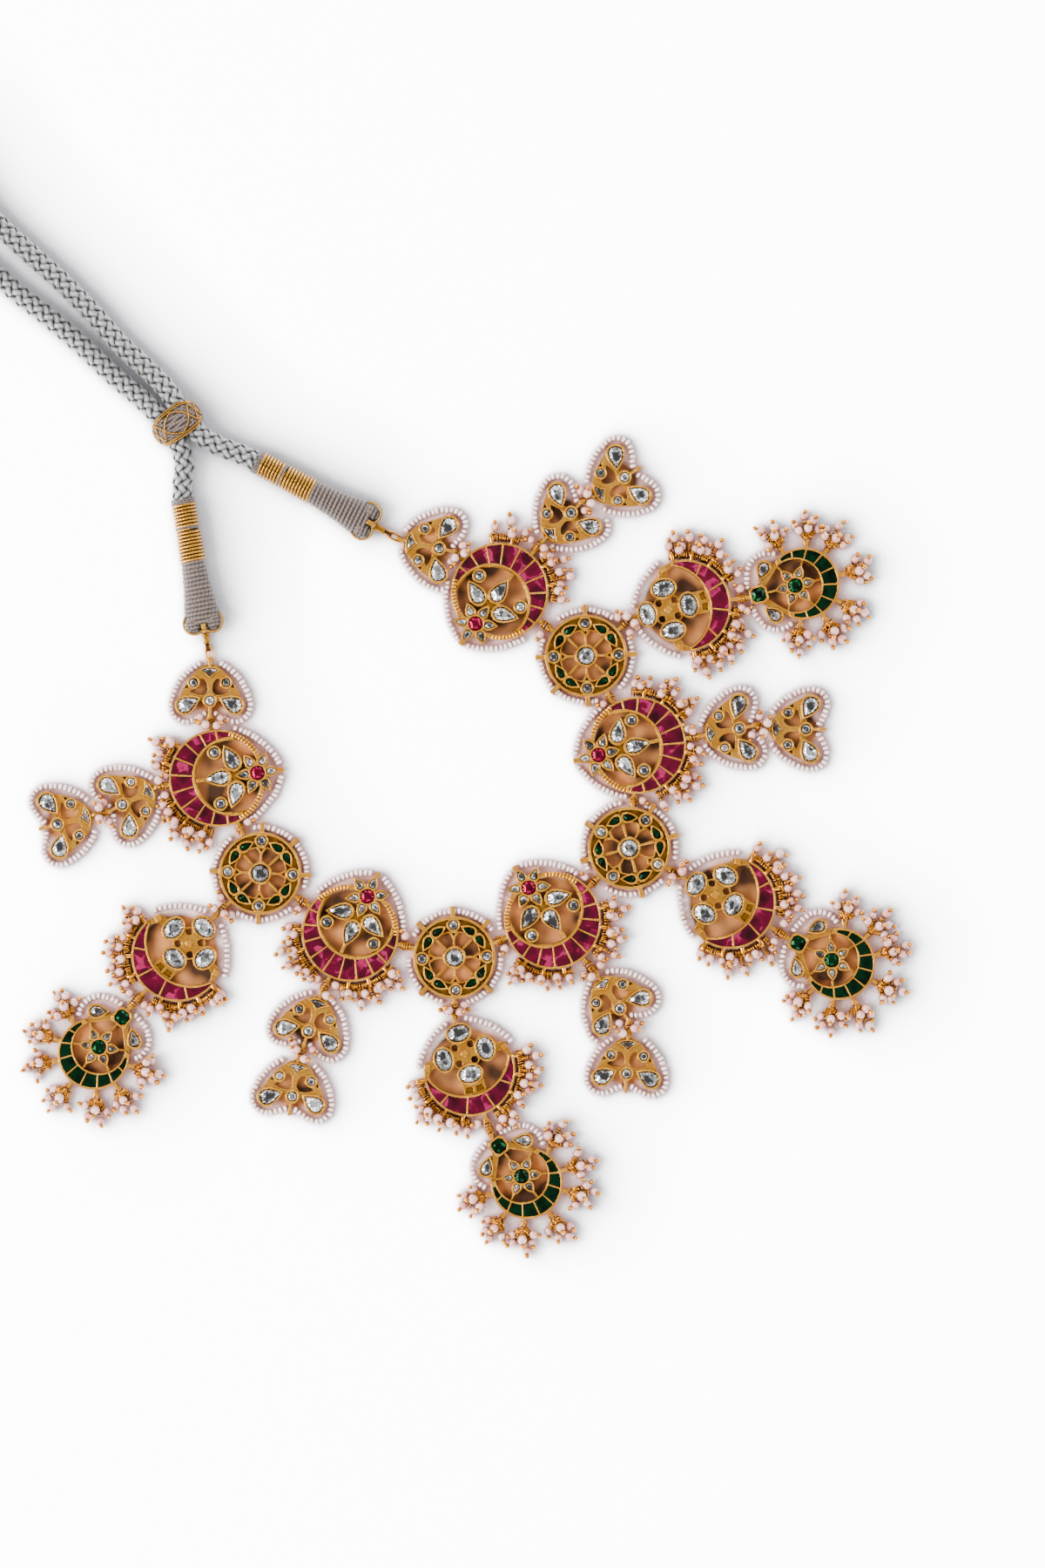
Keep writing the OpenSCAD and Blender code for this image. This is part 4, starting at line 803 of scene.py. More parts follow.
class Look(Enum):
    """Finishes of the necklace, each with the name of the slot that it belongs to."""

    HEART_GOLD = ("gold", Gilt("heart_gilding", (1.0, 0.50, 0.07), (0.78, 0.29, 0.02), pebble=0.06,
                               grain=0.35))
    PLATE_GOLD = ("gold", Gilt("plate_gilding"))
    WHEEL_GOLD = ("gold", Gilt("wheel_gilding", hollow_share=0.1))
    WIRE_GOLD = ("ring_gold", Gilt("wire_gilding", (0.74, 0.30, 0.03), (0.45, 0.16, 0.012), top=-5.0,
                                   soft=0.0, rough=(0.16, 0.26), pebble=0.005))
    # The clear glass's core is a painted dark reflection on the tables; the red glass's last colour is a
    # painted glint.
    CLEAR = ("clear_glass", FoiledGlass("clear_foiled_glass", (0.97, 0.97, 0.98), (0.03, 0.028, 0.028),
                                        crease=1.8, depth=0.09, rough=0.2, by_tint=0.3, core=0.42))
    RED = ("red_glass", FoiledGlass("red_foiled_glass", (0.26, 0.0, 0.04), (0.035, 0.0, 0.005),
                                    crease=3.4, depth=0.16, rough=0.22, coat=0.3, painted_glint=(0.7, 0.03, 0.17)))
    RUBY = ("red_glass", FoiledGlass("ruby_glass", (0.26, 0.0, 0.03), (0.06, 0.0, 0.008),
                                     crease=2.4, depth=0.04, rough=0.2, coat=0.2))
    GREEN = ("green_glass", FoiledGlass("green_foiled_glass", (0.0, 0.036, 0.009), (0.0, 0.002, 0.0006),
                                        crease=2.0, depth=0.08, rough=0.15, coat=0.12))
    # The third colour of a bead or pearl is its painted rim and hollow shade.
    SEED = ("beads", Nacre("seed_bead_glass", (0.95, 0.90, 0.89), (0.90, 0.74, 0.72), (0.30, 0.10, 0.085),
                           rough=0.16, milky=0.1))
    PEARL = ("pearls", Nacre("rose_pearl", (0.88, 0.53, 0.45), (0.72, 0.30, 0.23), (0.12, 0.026, 0.014),
                             rough=0.18, milky=0.08))
    # A thread's dark colour is its painted shade between fibres, at its sides and in hollows.
    SILVER_CORD = ("cord_silver", Thread("silver_braid", (0.46, 0.455, 0.45), (0.01, 0.0095, 0.01), pitch=0.8,
                                         slant=26.0, rough=0.45, metallic=0.25, depth=0.05, sheen=0.2,
                                         painted_side_shade=0.35))
    TAUPE = ("thread_taupe", Thread("taupe_thread", (0.205, 0.14, 0.11), (0.006, 0.0035, 0.0025), pitch=0.16,
                                    slant=4.0, rough=0.8, depth=0.1, painted_side_shade=0.1))
    GOLD_THREAD = ("thread_gold", Thread("gold_thread", (0.66, 0.31, 0.025), (0.04, 0.011, 0.001), pitch=0.13,
                                         slant=3.0, rough=0.3, metallic=0.85, depth=0.06, sheen=0.0,
                                         painted_side_shade=0.06))

    @property
    def slot(self) -> str:
        """Name of the slot that the finish belongs to."""
        return self.value[0]

    def material(self) -> bpy.types.Material:
        """The finish's material."""
        return self.value[1].material()


def write_piece(name: str, shape: Shape, look: Look, node: str | None = None,
                smooth: bool = True) -> bpy.types.Object:
    """Makes a surface an object of the scene, in metres, and lets it ride on the necklace.

    Args:
        name: the piece's name.
        shape: the surface.
        look: its finish.
        node: name of the solid that it stands for, if there is one.
        smooth: whether its faces are shaded as one smooth surface.

    Returns:
        The object, at the origin.
    """
    mesh = bpy.data.meshes.new(name)
    quads, tris = shape.quads, shape.tris
    corners = np.concatenate([quads.ravel(), tris.ravel()]).astype(np.int32)
    starts = np.concatenate([4 * np.arange(len(quads)), 4 * len(quads) + 3 * np.arange(len(tris))])
    mesh.vertices.add(len(shape.points))
    mesh.vertices.foreach_set("co", (shape.points * MM).ravel())
    mesh.loops.add(len(corners))
    mesh.loops.foreach_set("vertex_index", corners)
    mesh.polygons.add(len(starts))
    mesh.polygons.foreach_set("loop_start", starts.astype(np.int32))
    mesh.polygons.foreach_set("use_smooth", np.full(len(starts), smooth))
    mesh.attributes.new("tint", "FLOAT", "POINT").data.foreach_set("value", shape.tint)
    lay = np.column_stack([shape.lay, np.zeros(len(shape.lay))])
    mesh.attributes.new("lay", "FLOAT_VECTOR", "POINT").data.foreach_set("vector", lay.ravel())
    mesh.update(calc_edges=True)
    mesh.materials.append(look.material())
    piece = bpy.data.objects.new(name, mesh)
    bpy.context.scene.collection.objects.link(piece)
    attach(piece, "root")
    look.slot
    if node:
        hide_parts(node)
    LOG.info("%s: %d points, %d faces", name, len(shape.points), len(starts))
    return piece


# Cord, slider and wrapped ends


class CordRoute:
    """The cord's line from the left wrapping through the slider, out, back and to the right one.

    The same points as the solid cord's: two ends, two rises to the slider, two passes side by side
    through it, and one loop on the floor.
    """

    SLIDER_AT = (-79.4, 153.0)
    SLIDER_WAY = 126.0
    LEFT_RISE = ((-77.9, 136, 3.8), (-77.4, 141.5, 4.1))
    RIGHT_RISE = ((-71.3, 148.6, 4.2), (-66.8, 146.2, 4.1), (-61.6, 144.3, 3.8))
    FREE = (
        (-89.7, 160, 3.4), (-98, 167, 3.1), (-107, 175.5, 3.1), (-117, 184, 3.1), (-126, 191, 3.1),
        (-135, 199, 3.1), (-143.5, 205, 3.1), (-153, 209, 3.1), (-163, 213, 3.1), (-172, 218, 3.1),
        (-178, 226, 3.1), (-179, 235, 3.1), (-176.5, 242, 3.1), (-170, 246, 3.1), (-161, 246, 3.1),
        (-152, 241, 3.1), (-145.5, 233, 3.1), (-140.5, 223.5, 3.1), (-135, 215, 3.1), (-129, 208.5, 3.1),
        (-122, 202, 3.1), (-113, 194, 3.1), (-104, 185, 3.1), (-96, 176, 3.1), (-88.5, 169, 3.2),
        (-82.8, 163.2, 3.8),
    )
    BAND_L = (9.0, 6.5)
    BAND_GAP = 1.0
    BANDS_L = sum(BAND_L) + BAND_GAP
    TIE_L = 2.7
    CLEARANCE = 0.2
    PASS_GAP = 0.1
    LOOP_WIRE = 0.45

    def __init__(self, layout: Layout) -> None:
        """Works out the wrapped ends and the route.

        Args:
            layout: places of the plates.
        """
        z = layout.z
        self.z = z
        self.ways = layout.TIE_WAYS
        self.end_z = z.cord_d / 2 + z.band_t + self.CLEARANCE
        self.slider_z = z.cord_d / 2 + self.CLEARANCE + z.slider_wall
        self.loop_r = z.ring_wire / 2 + 0.3 + self.LOOP_WIRE
        self.ties = [link[1] for link in layout.links["ties"]]
        foot = self.loop_r + self.LOOP_WIRE + self.TIE_L
        self.feet = [at + polar(foot, way) for at, way in zip(self.ties, self.ways)]
        self.heads = [at + polar(z.wrap_l, way) for at, way in zip(self.feet, self.ways)]
        end, half = self.BANDS_L + self.BAND_GAP, z.slider_l / 2
        self.points = np.array(
            [self.on_end(1, 0.1), self.on_end(1, end / 2), self.on_end(1, end), *self.LEFT_RISE]
            + [self.in_slider(-1, r) for r in (-half, 0, half)] + list(self.FREE)
            + [self.in_slider(1, r) for r in (half, 0, -half)]
            + [*self.RIGHT_RISE, self.on_end(0, end), self.on_end(0, end / 2), self.on_end(0, 0.1)])

    def on_end(self, i: int, reach: float) -> np.ndarray:
        """Point of the cord's middle at a distance beyond a wrapping's head."""
        return np.array([*(self.heads[i] + polar(reach, self.ways[i])), self.end_z])

    def in_slider(self, side: int, reach: float) -> np.ndarray:
        """Point of one of the two passes through the slider."""
        apart = side * (self.z.cord_d / 2 + self.PASS_GAP)
        at = self.SLIDER_AT + polar(reach, self.SLIDER_WAY) + polar(apart, self.SLIDER_WAY - 90)
        return np.array([*at, self.slider_z])


@dataclass
class BraidedCord:
    """Round braid of twelve flat strands, six each way, over a dark core."""

    route: CordRoute
    count: int = 6
    pitch: float = 23.0
    radius: float = 2.12
    swing: float = 0.5
    strand_w: float = 1.75
    strand_t: float = 0.95
    core_d: float = 3.2
    step: float = 0.55

    def build(self) -> bpy.types.Object:
        """Makes the braid.

        Of n strands each way, k winds at +-2 pi s / pitch + 2 pi k / n and its distance from the
        middle is radius +- swing cos(2 pi n s / pitch), so each one goes over and under in turn.

        Returns:
            The cord's object.
        """
        line = smooth_path(self.route.points, self.step)
        turn = 2 * np.pi * reaches(line) / self.pitch
        flat = ellipse(self.strand_w, self.strand_t, 8)
        strands = []
        for hand in (1, -1):
            r = self.radius + hand * self.swing * np.cos(self.count * turn)
            for start in full_turn(self.count):
                path, out = helix(line, r, r, hand * turn + start)
                strands.append(sweep(path, flat, out))
        core = sweep(line, ellipse(self.core_d, self.core_d, 8), UP)
        return write_piece("braided_cord", joined(strands + [core]), Look.SILVER_CORD, "cord")

    def declare(self, pieces: list[bpy.types.Object]) -> None:
        """Works out the cord's length along its route and logs it; both its ends go back into the necklace.

        Args:
            pieces: what is wound or slid on it; not used.
        """
        route = smooth_path(self.route.points, 2.0)
        length = float(reaches(route)[-1])
        LOG.info("cord: %.0f mm long", length)


@dataclass
class WrappedEnds:
    """Thread wound round both ends of the cord: taupe wrappings, gold bands and gold ties.

    The wrapping is a coil that narrows by shares of wrap_w, given at shares of wrap_l, and ends in
    two domed lobes. A gold loop runs round each lobe, and three strands lead from it to the neck.
    Sizes that start with loop are the loop's, those with strand the strands', and those with eye the
    two small rings' that hold the neck.
    """

    route: CordRoute
    yarn_d: float = 1.25
    gold_d: float = 1.0
    fine_d: float = 0.55
    neck_d: float = 0.42
    marks: tuple = (0, 0.12, 0.4, 0.7, 0.86)
    widths: tuple = (0.62, 0.68, 0.76, 0.94, 1.0)
    neck_r: tuple = (1.35, 1.05, 0.95, 1.1)
    lobe_r: float = 2.75
    lobe_l: float = 3.9
    lobe_out: float = 2.65
    lobe_span: tuple = (-0.35, 0.93)
    lobe_yarn_d: float = 1.0
    lobe_tall: float = 1.15
    loop_turn: tuple = (-2.5, 2.35)
    loop_back: float = 1.1
    loop_half: tuple = (3.05, 2.95)
    loop_z: tuple = (0.4, 1.6)
    loop_wire: tuple = (0.75, 0.6)
    strand_wire: tuple = (0.75, 0.7)
    strand_apart: float = 0.45
    neck_lift: float = 0.35
    eye_apart: float = 0.32
    eye_wire: float = 0.6

    def winding(self, start: np.ndarray, end: np.ndarray, half_w: np.ndarray, half_h: np.ndarray,
                thread: float, seed: int) -> Shape:
        """Thread wound from one point to another: a coil whose turns lie a thread apart.

        Args:
            start: first point of the middle line.
            end: last point of it.
            half_w: half widths at even steps along it, to the outside of the thread.
            half_h: half heights, likewise.
            thread: thickness of the thread.
            seed: number that sets its small wanderings.

        Returns:
            The wound thread with a core inside it.
        """
        turns = max(float(np.linalg.norm(end - start)) / (thread * 0.98), 1.0)
        t = np.linspace(0, 1, int(turns * 30) + 2)
        spine = start + t[:, None] * (end - start)
        w, h = (np.interp(t, np.linspace(0, 1, len(half)), half) - thread / 2 for half in (half_w, half_h))
        stray = 0.05 * np.sin(t * 61 + seed) + 0.04 * np.sin(t * 143 + 2 * seed)
        path, out = helix(spine, w + stray, h + stray, 2 * np.pi * turns * t)
        coil = sweep(path, ellipse(thread * 1.02, thread, 10), out)
        core = sweep(spine[::12], ellipse(2.0, 2.0, 20), UP, grow=np.minimum(w, h)[::12] * 0.98)
        return joined([coil, core])

    def wrapping(self, i: int) -> tuple[list[Shape], list[Shape]]:
        """Taupe wrapping of one end with the gold ties at its foot.

        Args:
            i: 0 for the right end and 1 for the left.

        Returns:
            The taupe windings and the gold ties.
        """
        r = self.route
        z = r.z
        out, side = basis(r.ways[i])
        head, foot = r.on_end(i, 0.0), np.array([*r.feet[i], 0.0])
        last = head - out * z.wrap_l * self.marks[-1]
        w = np.interp(np.linspace(0, self.marks[-1], 24), self.marks, self.widths) * z.wrap_w / 2
        h = np.minimum(r.end_z - r.CLEARANCE, w * 1.02 + 0.2)
        taupe, ties = [self.winding(head, last, w, h, self.yarn_d, i)], []
        dome = self.lobe_r * np.sqrt(1 - np.linspace(*self.lobe_span, 12) ** 2)
        turn = np.linspace(*self.loop_turn, 40)
        rise = UP * (self.loop_z[0] + self.loop_z[1] * np.cos(turn[:, None] / 2))
        for hand in (1, -1):
            lobe = last + side * hand * self.lobe_out + out
            taupe.append(self.winding(lobe, lobe - out * self.lobe_l, dome, dome * self.lobe_tall,
                                      self.lobe_yarn_d, 5 + i + hand))
            long, wide = out * -self.loop_half[0], side * hand * self.loop_half[1]
            loop = spun(lobe - out * self.loop_back, long, wide, turn) + rise
            ties.append(sweep(loop, ellipse(*self.loop_wire, 8), UP))
        bends = ((last, 1.0, 0.4, 2.9), (last, 0.8, 2.4, 2.2), (foot, 0.6, 0.0, 3.4), (foot, 0.4, 0.5, 2.2))
        for apart in (-self.strand_apart, 0.0, self.strand_apart):
            arch = np.array([at + side * apart * share - out * down + UP * up
                             for at, share, down, up in bends])
            ties.append(sweep(smooth_path(arch, 0.35), ellipse(*self.strand_wire, 8), UP))
        neck = np.array([*r.ties[i], z.plate_t])
        neck_r = np.array(self.neck_r)
        neck_start, neck_end = foot + UP * (z.plate_t + self.neck_lift), neck + out * (r.loop_r + 0.1)
        ties.append(self.winding(neck_start, neck_end, neck_r, neck_r, self.neck_d, 9 + i))
        for shift in (-self.eye_apart, self.eye_apart):
            loop = spun(neck + side * shift, out * r.loop_r, UP * r.loop_r, full_turn(24))
            ties.append(sweep(loop, ellipse(self.eye_wire, self.eye_wire, 8), side, closed=True))
        return taupe, ties

    def bands(self, i: int) -> tuple[list[Shape], list[Shape]]:
        """Two gold bands on the cord beyond one wrapping, with fine thread between and beyond them.

        Args:
            i: 0 for the right end and 1 for the left.

        Returns:
            The fine taupe windings and the gold ones.
        """
        r = self.route
        gap = r.BAND_L[0] + r.BAND_GAP + 0.1
        reach = (0.2, r.BAND_L[0] + 0.3, gap, r.BANDS_L, r.BANDS_L + 1.6)
        first, second, third, fourth, fifth = (r.on_end(i, at) for at in reach)
        outer = r.z.cord_d / 2 + 0.12 + r.z.band_t
        flat, grown = np.full(2, outer), np.linspace(outer + 0.28, outer, 6)
        gold = [self.winding(first, second, grown, np.minimum(grown, outer), self.gold_d, 20 + i),
                self.winding(third, fourth, flat, flat, self.gold_d, 30 + i)]
        fine = [self.winding(second, third, flat - 0.05, flat - 0.05, self.fine_d, 40 + i),
                self.winding(fourth, fifth, flat - 0.12, flat - 0.12, self.fine_d, 50 + i)]
        return fine, gold

    def build(self) -> list[bpy.types.Object]:
        """Makes the wrappings, the bands and the ties of both ends, and gives their pieces."""
        pieces, ties, bands = [], [], []
        for i, name in enumerate(("right", "left")):
            taupe, end_ties = self.wrapping(i)
            fine, gold = self.bands(i)
            ties += end_ties
            bands += gold
            threads = joined(taupe + fine)
            pieces.append(write_piece(f"wrapping_{name}", threads, Look.TAUPE, f"cord_wrap_{name}"))
        pieces.append(write_piece("wound_gold_bands", joined(bands), Look.GOLD_THREAD, "gold_bands"))
        pieces.append(write_piece("gold_thread_ties", joined(ties), Look.GOLD_THREAD, "thread_ties"))
        return pieces


@dataclass
class KnitSlider:
    """Knitted tube that holds the two passes of the cord, edged and crossed with gold thread.

    Rounds of yarn wave by stitch_l as often as they have stitches. Gold runs round at the shares of
    edges, and crosses the tube in waves that reach cross_share of its half length.
    """

    route: CordRoute
    rounds: int = 9
    yarn_d: float = 1.25
    belly: float = 0.6
    shoulder: float = 0.4
    lowest: float = 0.6
    count: int = 120
    stitches: int = 22
    stitch_l: float = 0.22
    yarn_inside: float = 0.5
    edges: tuple = (-1.0, -0.86, 0.86, 1.0)
    edge_inside: float = 0.35
    edge_wave: float = 0.15
    waves: int = 5
    cross_share: float = 0.72
    gold_w: float = 0.5
    cross_h: float = 0.42

    def course(self, share: float, inset: float = 0.0) -> tuple[np.ndarray, np.ndarray]:
        """Racetrack round both passes: r (cos t, sin t) + half (cos t / sqrt(cos^2 t + 0.02), 0).

        Args:
            share: place along the slider from -1 to 1, where the tube is thinner to its ends.
            inset: distance of the line inside the tube's surface.

        Returns:
            Points across and up, and the outward directions there.
        """
        z = self.route.z
        r = z.cord_d / 2 + z.slider_wall + self.route.CLEARANCE - inset - self.belly * share**2
        t = full_turn(self.count)
        out = np.stack([np.cos(t), np.sin(t)], -1)
        spread = (z.cord_d / 2 + self.route.PASS_GAP) * np.cos(t) / np.sqrt(np.cos(t) ** 2 + 0.02)
        return r * out + np.stack([spread, np.zeros(self.count)], -1), out

    def in_place(self, across: np.ndarray, reach: np.ndarray) -> np.ndarray:
        """Points across and up at a distance along the slider, in the shared frame."""
        r = self.route
        way, left = basis(r.SLIDER_WAY)
        span = r.z.cord_d + r.z.slider_wall
        reach = reach * (1 - self.shoulder * np.clip(np.abs(across[:, 0]) / span, 0, 1) ** 3)
        at = np.array([*r.SLIDER_AT, r.slider_z])
        points = at - across[:, :1] * left + across[:, 1:] * UP + reach[:, None] * way
        points[:, 2] = np.maximum(points[:, 2], self.lowest)
        return points

    def build(self) -> list[bpy.types.Object]:
        """Makes the knitted body and its gold threads, and gives both pieces.

        Each round of yarn is the racetrack, waved along the slider so that it locks with the next.
        """
        half = self.route.z.slider_l / 2
        turn = full_turn(self.count)
        right = -basis(self.route.SLIDER_WAY)[1][:2]
        body, gold = [], []
        for k in range(self.rounds):
            share = (k + 0.5) / self.rounds * 2 - 1
            line, out = self.course(share, self.yarn_d / 2)
            wave = self.stitch_l * np.sin(self.stitches * turn) * (1 if k % 2 else -1)
            path = self.in_place(line, share * (half - self.yarn_inside) + wave)
            outward = np.column_stack([out[:, :1] * right, out[:, 1]])
            body.append(sweep(path, ellipse(self.yarn_d, self.yarn_d * 0.9, 7), outward, closed=True))
        for share in self.edges:
            wave = self.edge_wave * np.sin(self.waves * turn + share)
            path = self.in_place(self.course(share)[0], share * (half - self.edge_inside) + wave)
            gold.append(sweep(path, ellipse(self.gold_w, self.gold_w, 6), UP, closed=True))
        zigzag = self.cross_share * (2 / np.pi) * np.arcsin(np.sin(self.waves * turn)) * half
        for lag in (0, self.count // 10):
            path = self.in_place(self.course(0.0)[0], np.roll(zigzag, lag))
            gold.append(sweep(path, ellipse(self.gold_w, self.cross_h, 6), UP, closed=True))
        return [write_piece("knit_slider", joined(body), Look.TAUPE, "cord_slider"),
                write_piece("slider_gold_thread", joined(gold), Look.GOLD_THREAD)]


# Seed beads


@dataclass(frozen=True)
class StringLine:
    """Half of a string round a plate, in shares of the plate's size.

    It starts at a point, sets off along a way, and follows arcs of (radius, turn in degrees).
    """

    start: tuple[float, float]
    way: float
    arcs: tuple[tuple[float, float], ...]

    def points(self, size: float, cut: tuple[float, float] = (0.0, 0.0)) -> np.ndarray:
        """Points P + r (cos(w - 90 + a), sin(w - 90 + a)) of each arc on the right side.

        Args:
            size: the plate's size.
            cut: degrees left off the start and the end. A cut end leaves out the last of three arcs.

        Returns:
            (n, 2) points of the plate's own frame.
        """
        arcs = self.arcs[:2] if cut[1] else self.arcs
        at, way, points = np.array(self.start) * size, self.way, []
        for k, (share, turn) in enumerate(arcs):
            r = share * size
            middle = at + polar(r, way + 90)
            ends = (cut[0] if k == 0 else 0.0, turn - (cut[1] if k == len(arcs) - 1 else 0.0))
            a = np.radians(way - 90 + np.linspace(*ends, 40))
            points.append(middle + r * np.stack([np.cos(a), np.sin(a)], -1))
            at = middle + polar(r, way - 90 + turn)
            way += turn
        return np.concatenate(points)


class SeedStrings:
    """Strings of seed beads round the plates: beads threaded along arcs, a pitch apart."""

    HEART = StringLine((0.335, -1.12), 27.0, ((1.61, 56.0), (0.458, 120.0), (4.0, 6.5)))
    LEAF = StringLine((0.965, 0.5), 113.0, ((1.49, 45.0),))
    FAN = StringLine((1.03, 0.01), 117.0, ((1.535, 41.0),))
    PENDANT = StringLine((1.013, 0.38), 61.0, ((0.578, 97.0), (1.69, 16.0)))
    LOWER_HEARTS = range(5, 10)
    LOWER_CUT = 7.0
    END_CUTS = {0: 45.0, 2: 85.0, 10: 90.0}
    BEAD = ((0, -0.52), (0.5, -0.6), (0.86, -0.36), (0.96, 0), (0.86, 0.36), (0.5, 0.6), (0, 0.52))
    PITCH = 1.33
    RING_STOP = 17.0

    def __init__(self, layout: Layout) -> None:
        """Keeps the places and shapes one bead, a squat ring with its hole closed.

        Args:
            layout: places of the plates.
        """
        self.layout = layout
        self.bead = lathe(np.array(self.BEAD), 10)
        self.rng = np.random.default_rng(11)

    def thread(self, path: np.ndarray) -> Shape:
        """Beads along a line in the shared frame, each turned with it and a little out of true."""
        at = resampled(path, self.PITCH)
        k = len(at)
        way = along(at) + self.rng.normal(0, 0.09, (k, 3))
        at = at + self.rng.normal(0, 0.07, (k, 3)) * [1, 1, 0.5]
        scale = self.rng.uniform(0.93, 1.05, k)
        return scatter(self.bead, at, frames(way, UP), scale, self.rng.uniform(0, 1, k))

    def lifted(self, flat: np.ndarray, hand: int, place: Place) -> np.ndarray:
        """Line of a plate's right side, or mirrored by a hand of -1, at the beads' height."""
        rise = self.layout.z.bead_d / 2 + 0.2
        return placed(np.column_stack([flat * [hand, 1], np.full(len(flat), rise)]), place)

    def both(self, string: StringLine, size: float, places: list[Place]) -> list[np.ndarray]:
        """Lines on both sides of some plates, with nothing cut off."""
        return [self.lifted(string.points(size), hand, place) for place in places for hand in SIDES]

    def heart_lines(self) -> list[np.ndarray]:
        """Lines on both sides of the hearts, cut short where another plate lies."""
        lines = []
        for i, place in enumerate(self.layout.hearts):
            start = self.LOWER_CUT if i in self.LOWER_HEARTS else 0.0
            for hand, end in zip(SIDES, (0.0, self.END_CUTS.get(i, 0.0))):
                flat = self.HEART.points(self.layout.z.heart_w / 2, (start, end))
                lines.append(self.lifted(flat, hand, place))
        return lines

    def wheel_lines(self) -> list[np.ndarray]:
        """Arcs round each wheel between the lugs that hold its rings."""
        lay, z = self.layout, self.layout.z
        r, rise = z.wheel_r + z.bead_d / 2 + z.trim_gap + 0.2, z.bead_d / 2 + 0.3
        lines = []
        for i, wheel in enumerate(lay.wheels):
            eyes = [lay.links["wheel_fan"][i][0]]
            eyes += [pair[1] for pair, ends in zip(lay.links["leaf_wheel"], lay.LEAF_WHEEL) if ends[1] == i]
            ways = sorted(heading(wheel, eye) % 360 for eye in eyes)
            for a, b in zip(ways, ways[1:] + [ways[0] + 360]):
                t = np.radians(np.linspace(a + self.RING_STOP, b - self.RING_STOP, 80))
                middle = np.array([*wheel[:2], rise])
                lines.append(spun(middle, np.array([r, 0, 0]), np.array([0, r, 0]), t))
        return lines

    def build(self) -> None:
        """Makes the strings of every kind of plate in place of the plain ones."""
        lay, z = self.layout, self.layout.z
        kinds = {"heart": self.heart_lines(), "leaf": self.both(self.LEAF, z.leaf_r, lay.leaves),
                 "wheel": self.wheel_lines(), "fan": self.both(self.FAN, z.fan_r, lay.fans),
                 "pendant": self.both(self.PENDANT, z.pendant_r, lay.pendants)}
        for kind, lines in kinds.items():
            beads = joined([self.thread(line) for line in lines])
            write_piece(f"{kind}_seed_beads", beads, Look.SEED, f"{kind}_beads")


# Stones


@dataclass(frozen=True)
class Cut:
    """Cut of a stone: heights of its crown, and widths of its table and middle ring as shares."""

    crown: float
    table: float
    waist: float
    girdle: float


TALL = Cut(0.9, 0.46, 0.78, 2.55)
LOW = Cut(0.55, 0.5, 0.8, 2.6)


@dataclass(frozen=True)
class Stone:
    """A stone of a plate: its kind, its girdle, its middle in the plate's frame, turn and cut."""

    kind: str
    outline: np.ndarray
    x: float = 0.0
    y: float = 0.0
    turn: float = 0.0
    cut: Cut = LOW

    def both(self) -> list[Stone]:
        """The stone and its twin on the plate's other side: at (-x, y), turned by 180 - a."""
        return [self, replace(self, x=-self.x, turn=180 - self.turn)]

    def shape(self, foot: float, tint: float) -> Shape:
        """Rings at the foot, the girdle, the waist half a step round, and the table.

        Kite facets run from the girdle over the waist to the table, and small triangles fill in.

        Args:
            foot: height of the seat.
            tint: value of the stone.

        Returns:
            The closed surface, with lay = (share of the way from the girdle to the table, 0).
        """
        cut, n = self.cut, len(self.outline)
        half = (self.outline + np.roll(self.outline, -1, axis=0)) / 2
        top = cut.girdle + cut.crown
        levels = ((self.outline, foot), (self.outline, cut.girdle),
                  (half * cut.waist, cut.girdle + 0.62 * cut.crown), (self.outline * cut.table, top),
                  (np.zeros((1, 2)), top), (np.zeros((1, 2)), foot))
        points = np.concatenate([np.column_stack([flat, np.full(len(flat), z)]) for flat, z in levels])
        j = np.arange(n)
        k, before, pole = (j + 1) % n, (j - 1) % n, np.full(n, 4 * n)
        side = np.stack([j, k, n + k, n + j], -1)
        kites = np.stack([n + j, 2 * n + j, 3 * n + j, 2 * n + before], -1)
        tris = ((n + j, n + k, 2 * n + j), (3 * n + j, 2 * n + j, 3 * n + k), (pole, 3 * n + j, 3 * n + k),
                (pole + 1, k, j))
        inward = np.repeat([0.0, 0.0, 0.5, 1.0, 1.0], [n, n, n, n, 2])
        return Shape(placed(points, (self.x, self.y, self.turn)), np.concatenate([side, kites]),
                     np.concatenate([np.stack(tri, -1) for tri in tris]), np.full(len(points), tint),
                     np.stack([inward, 0 * inward], -1))


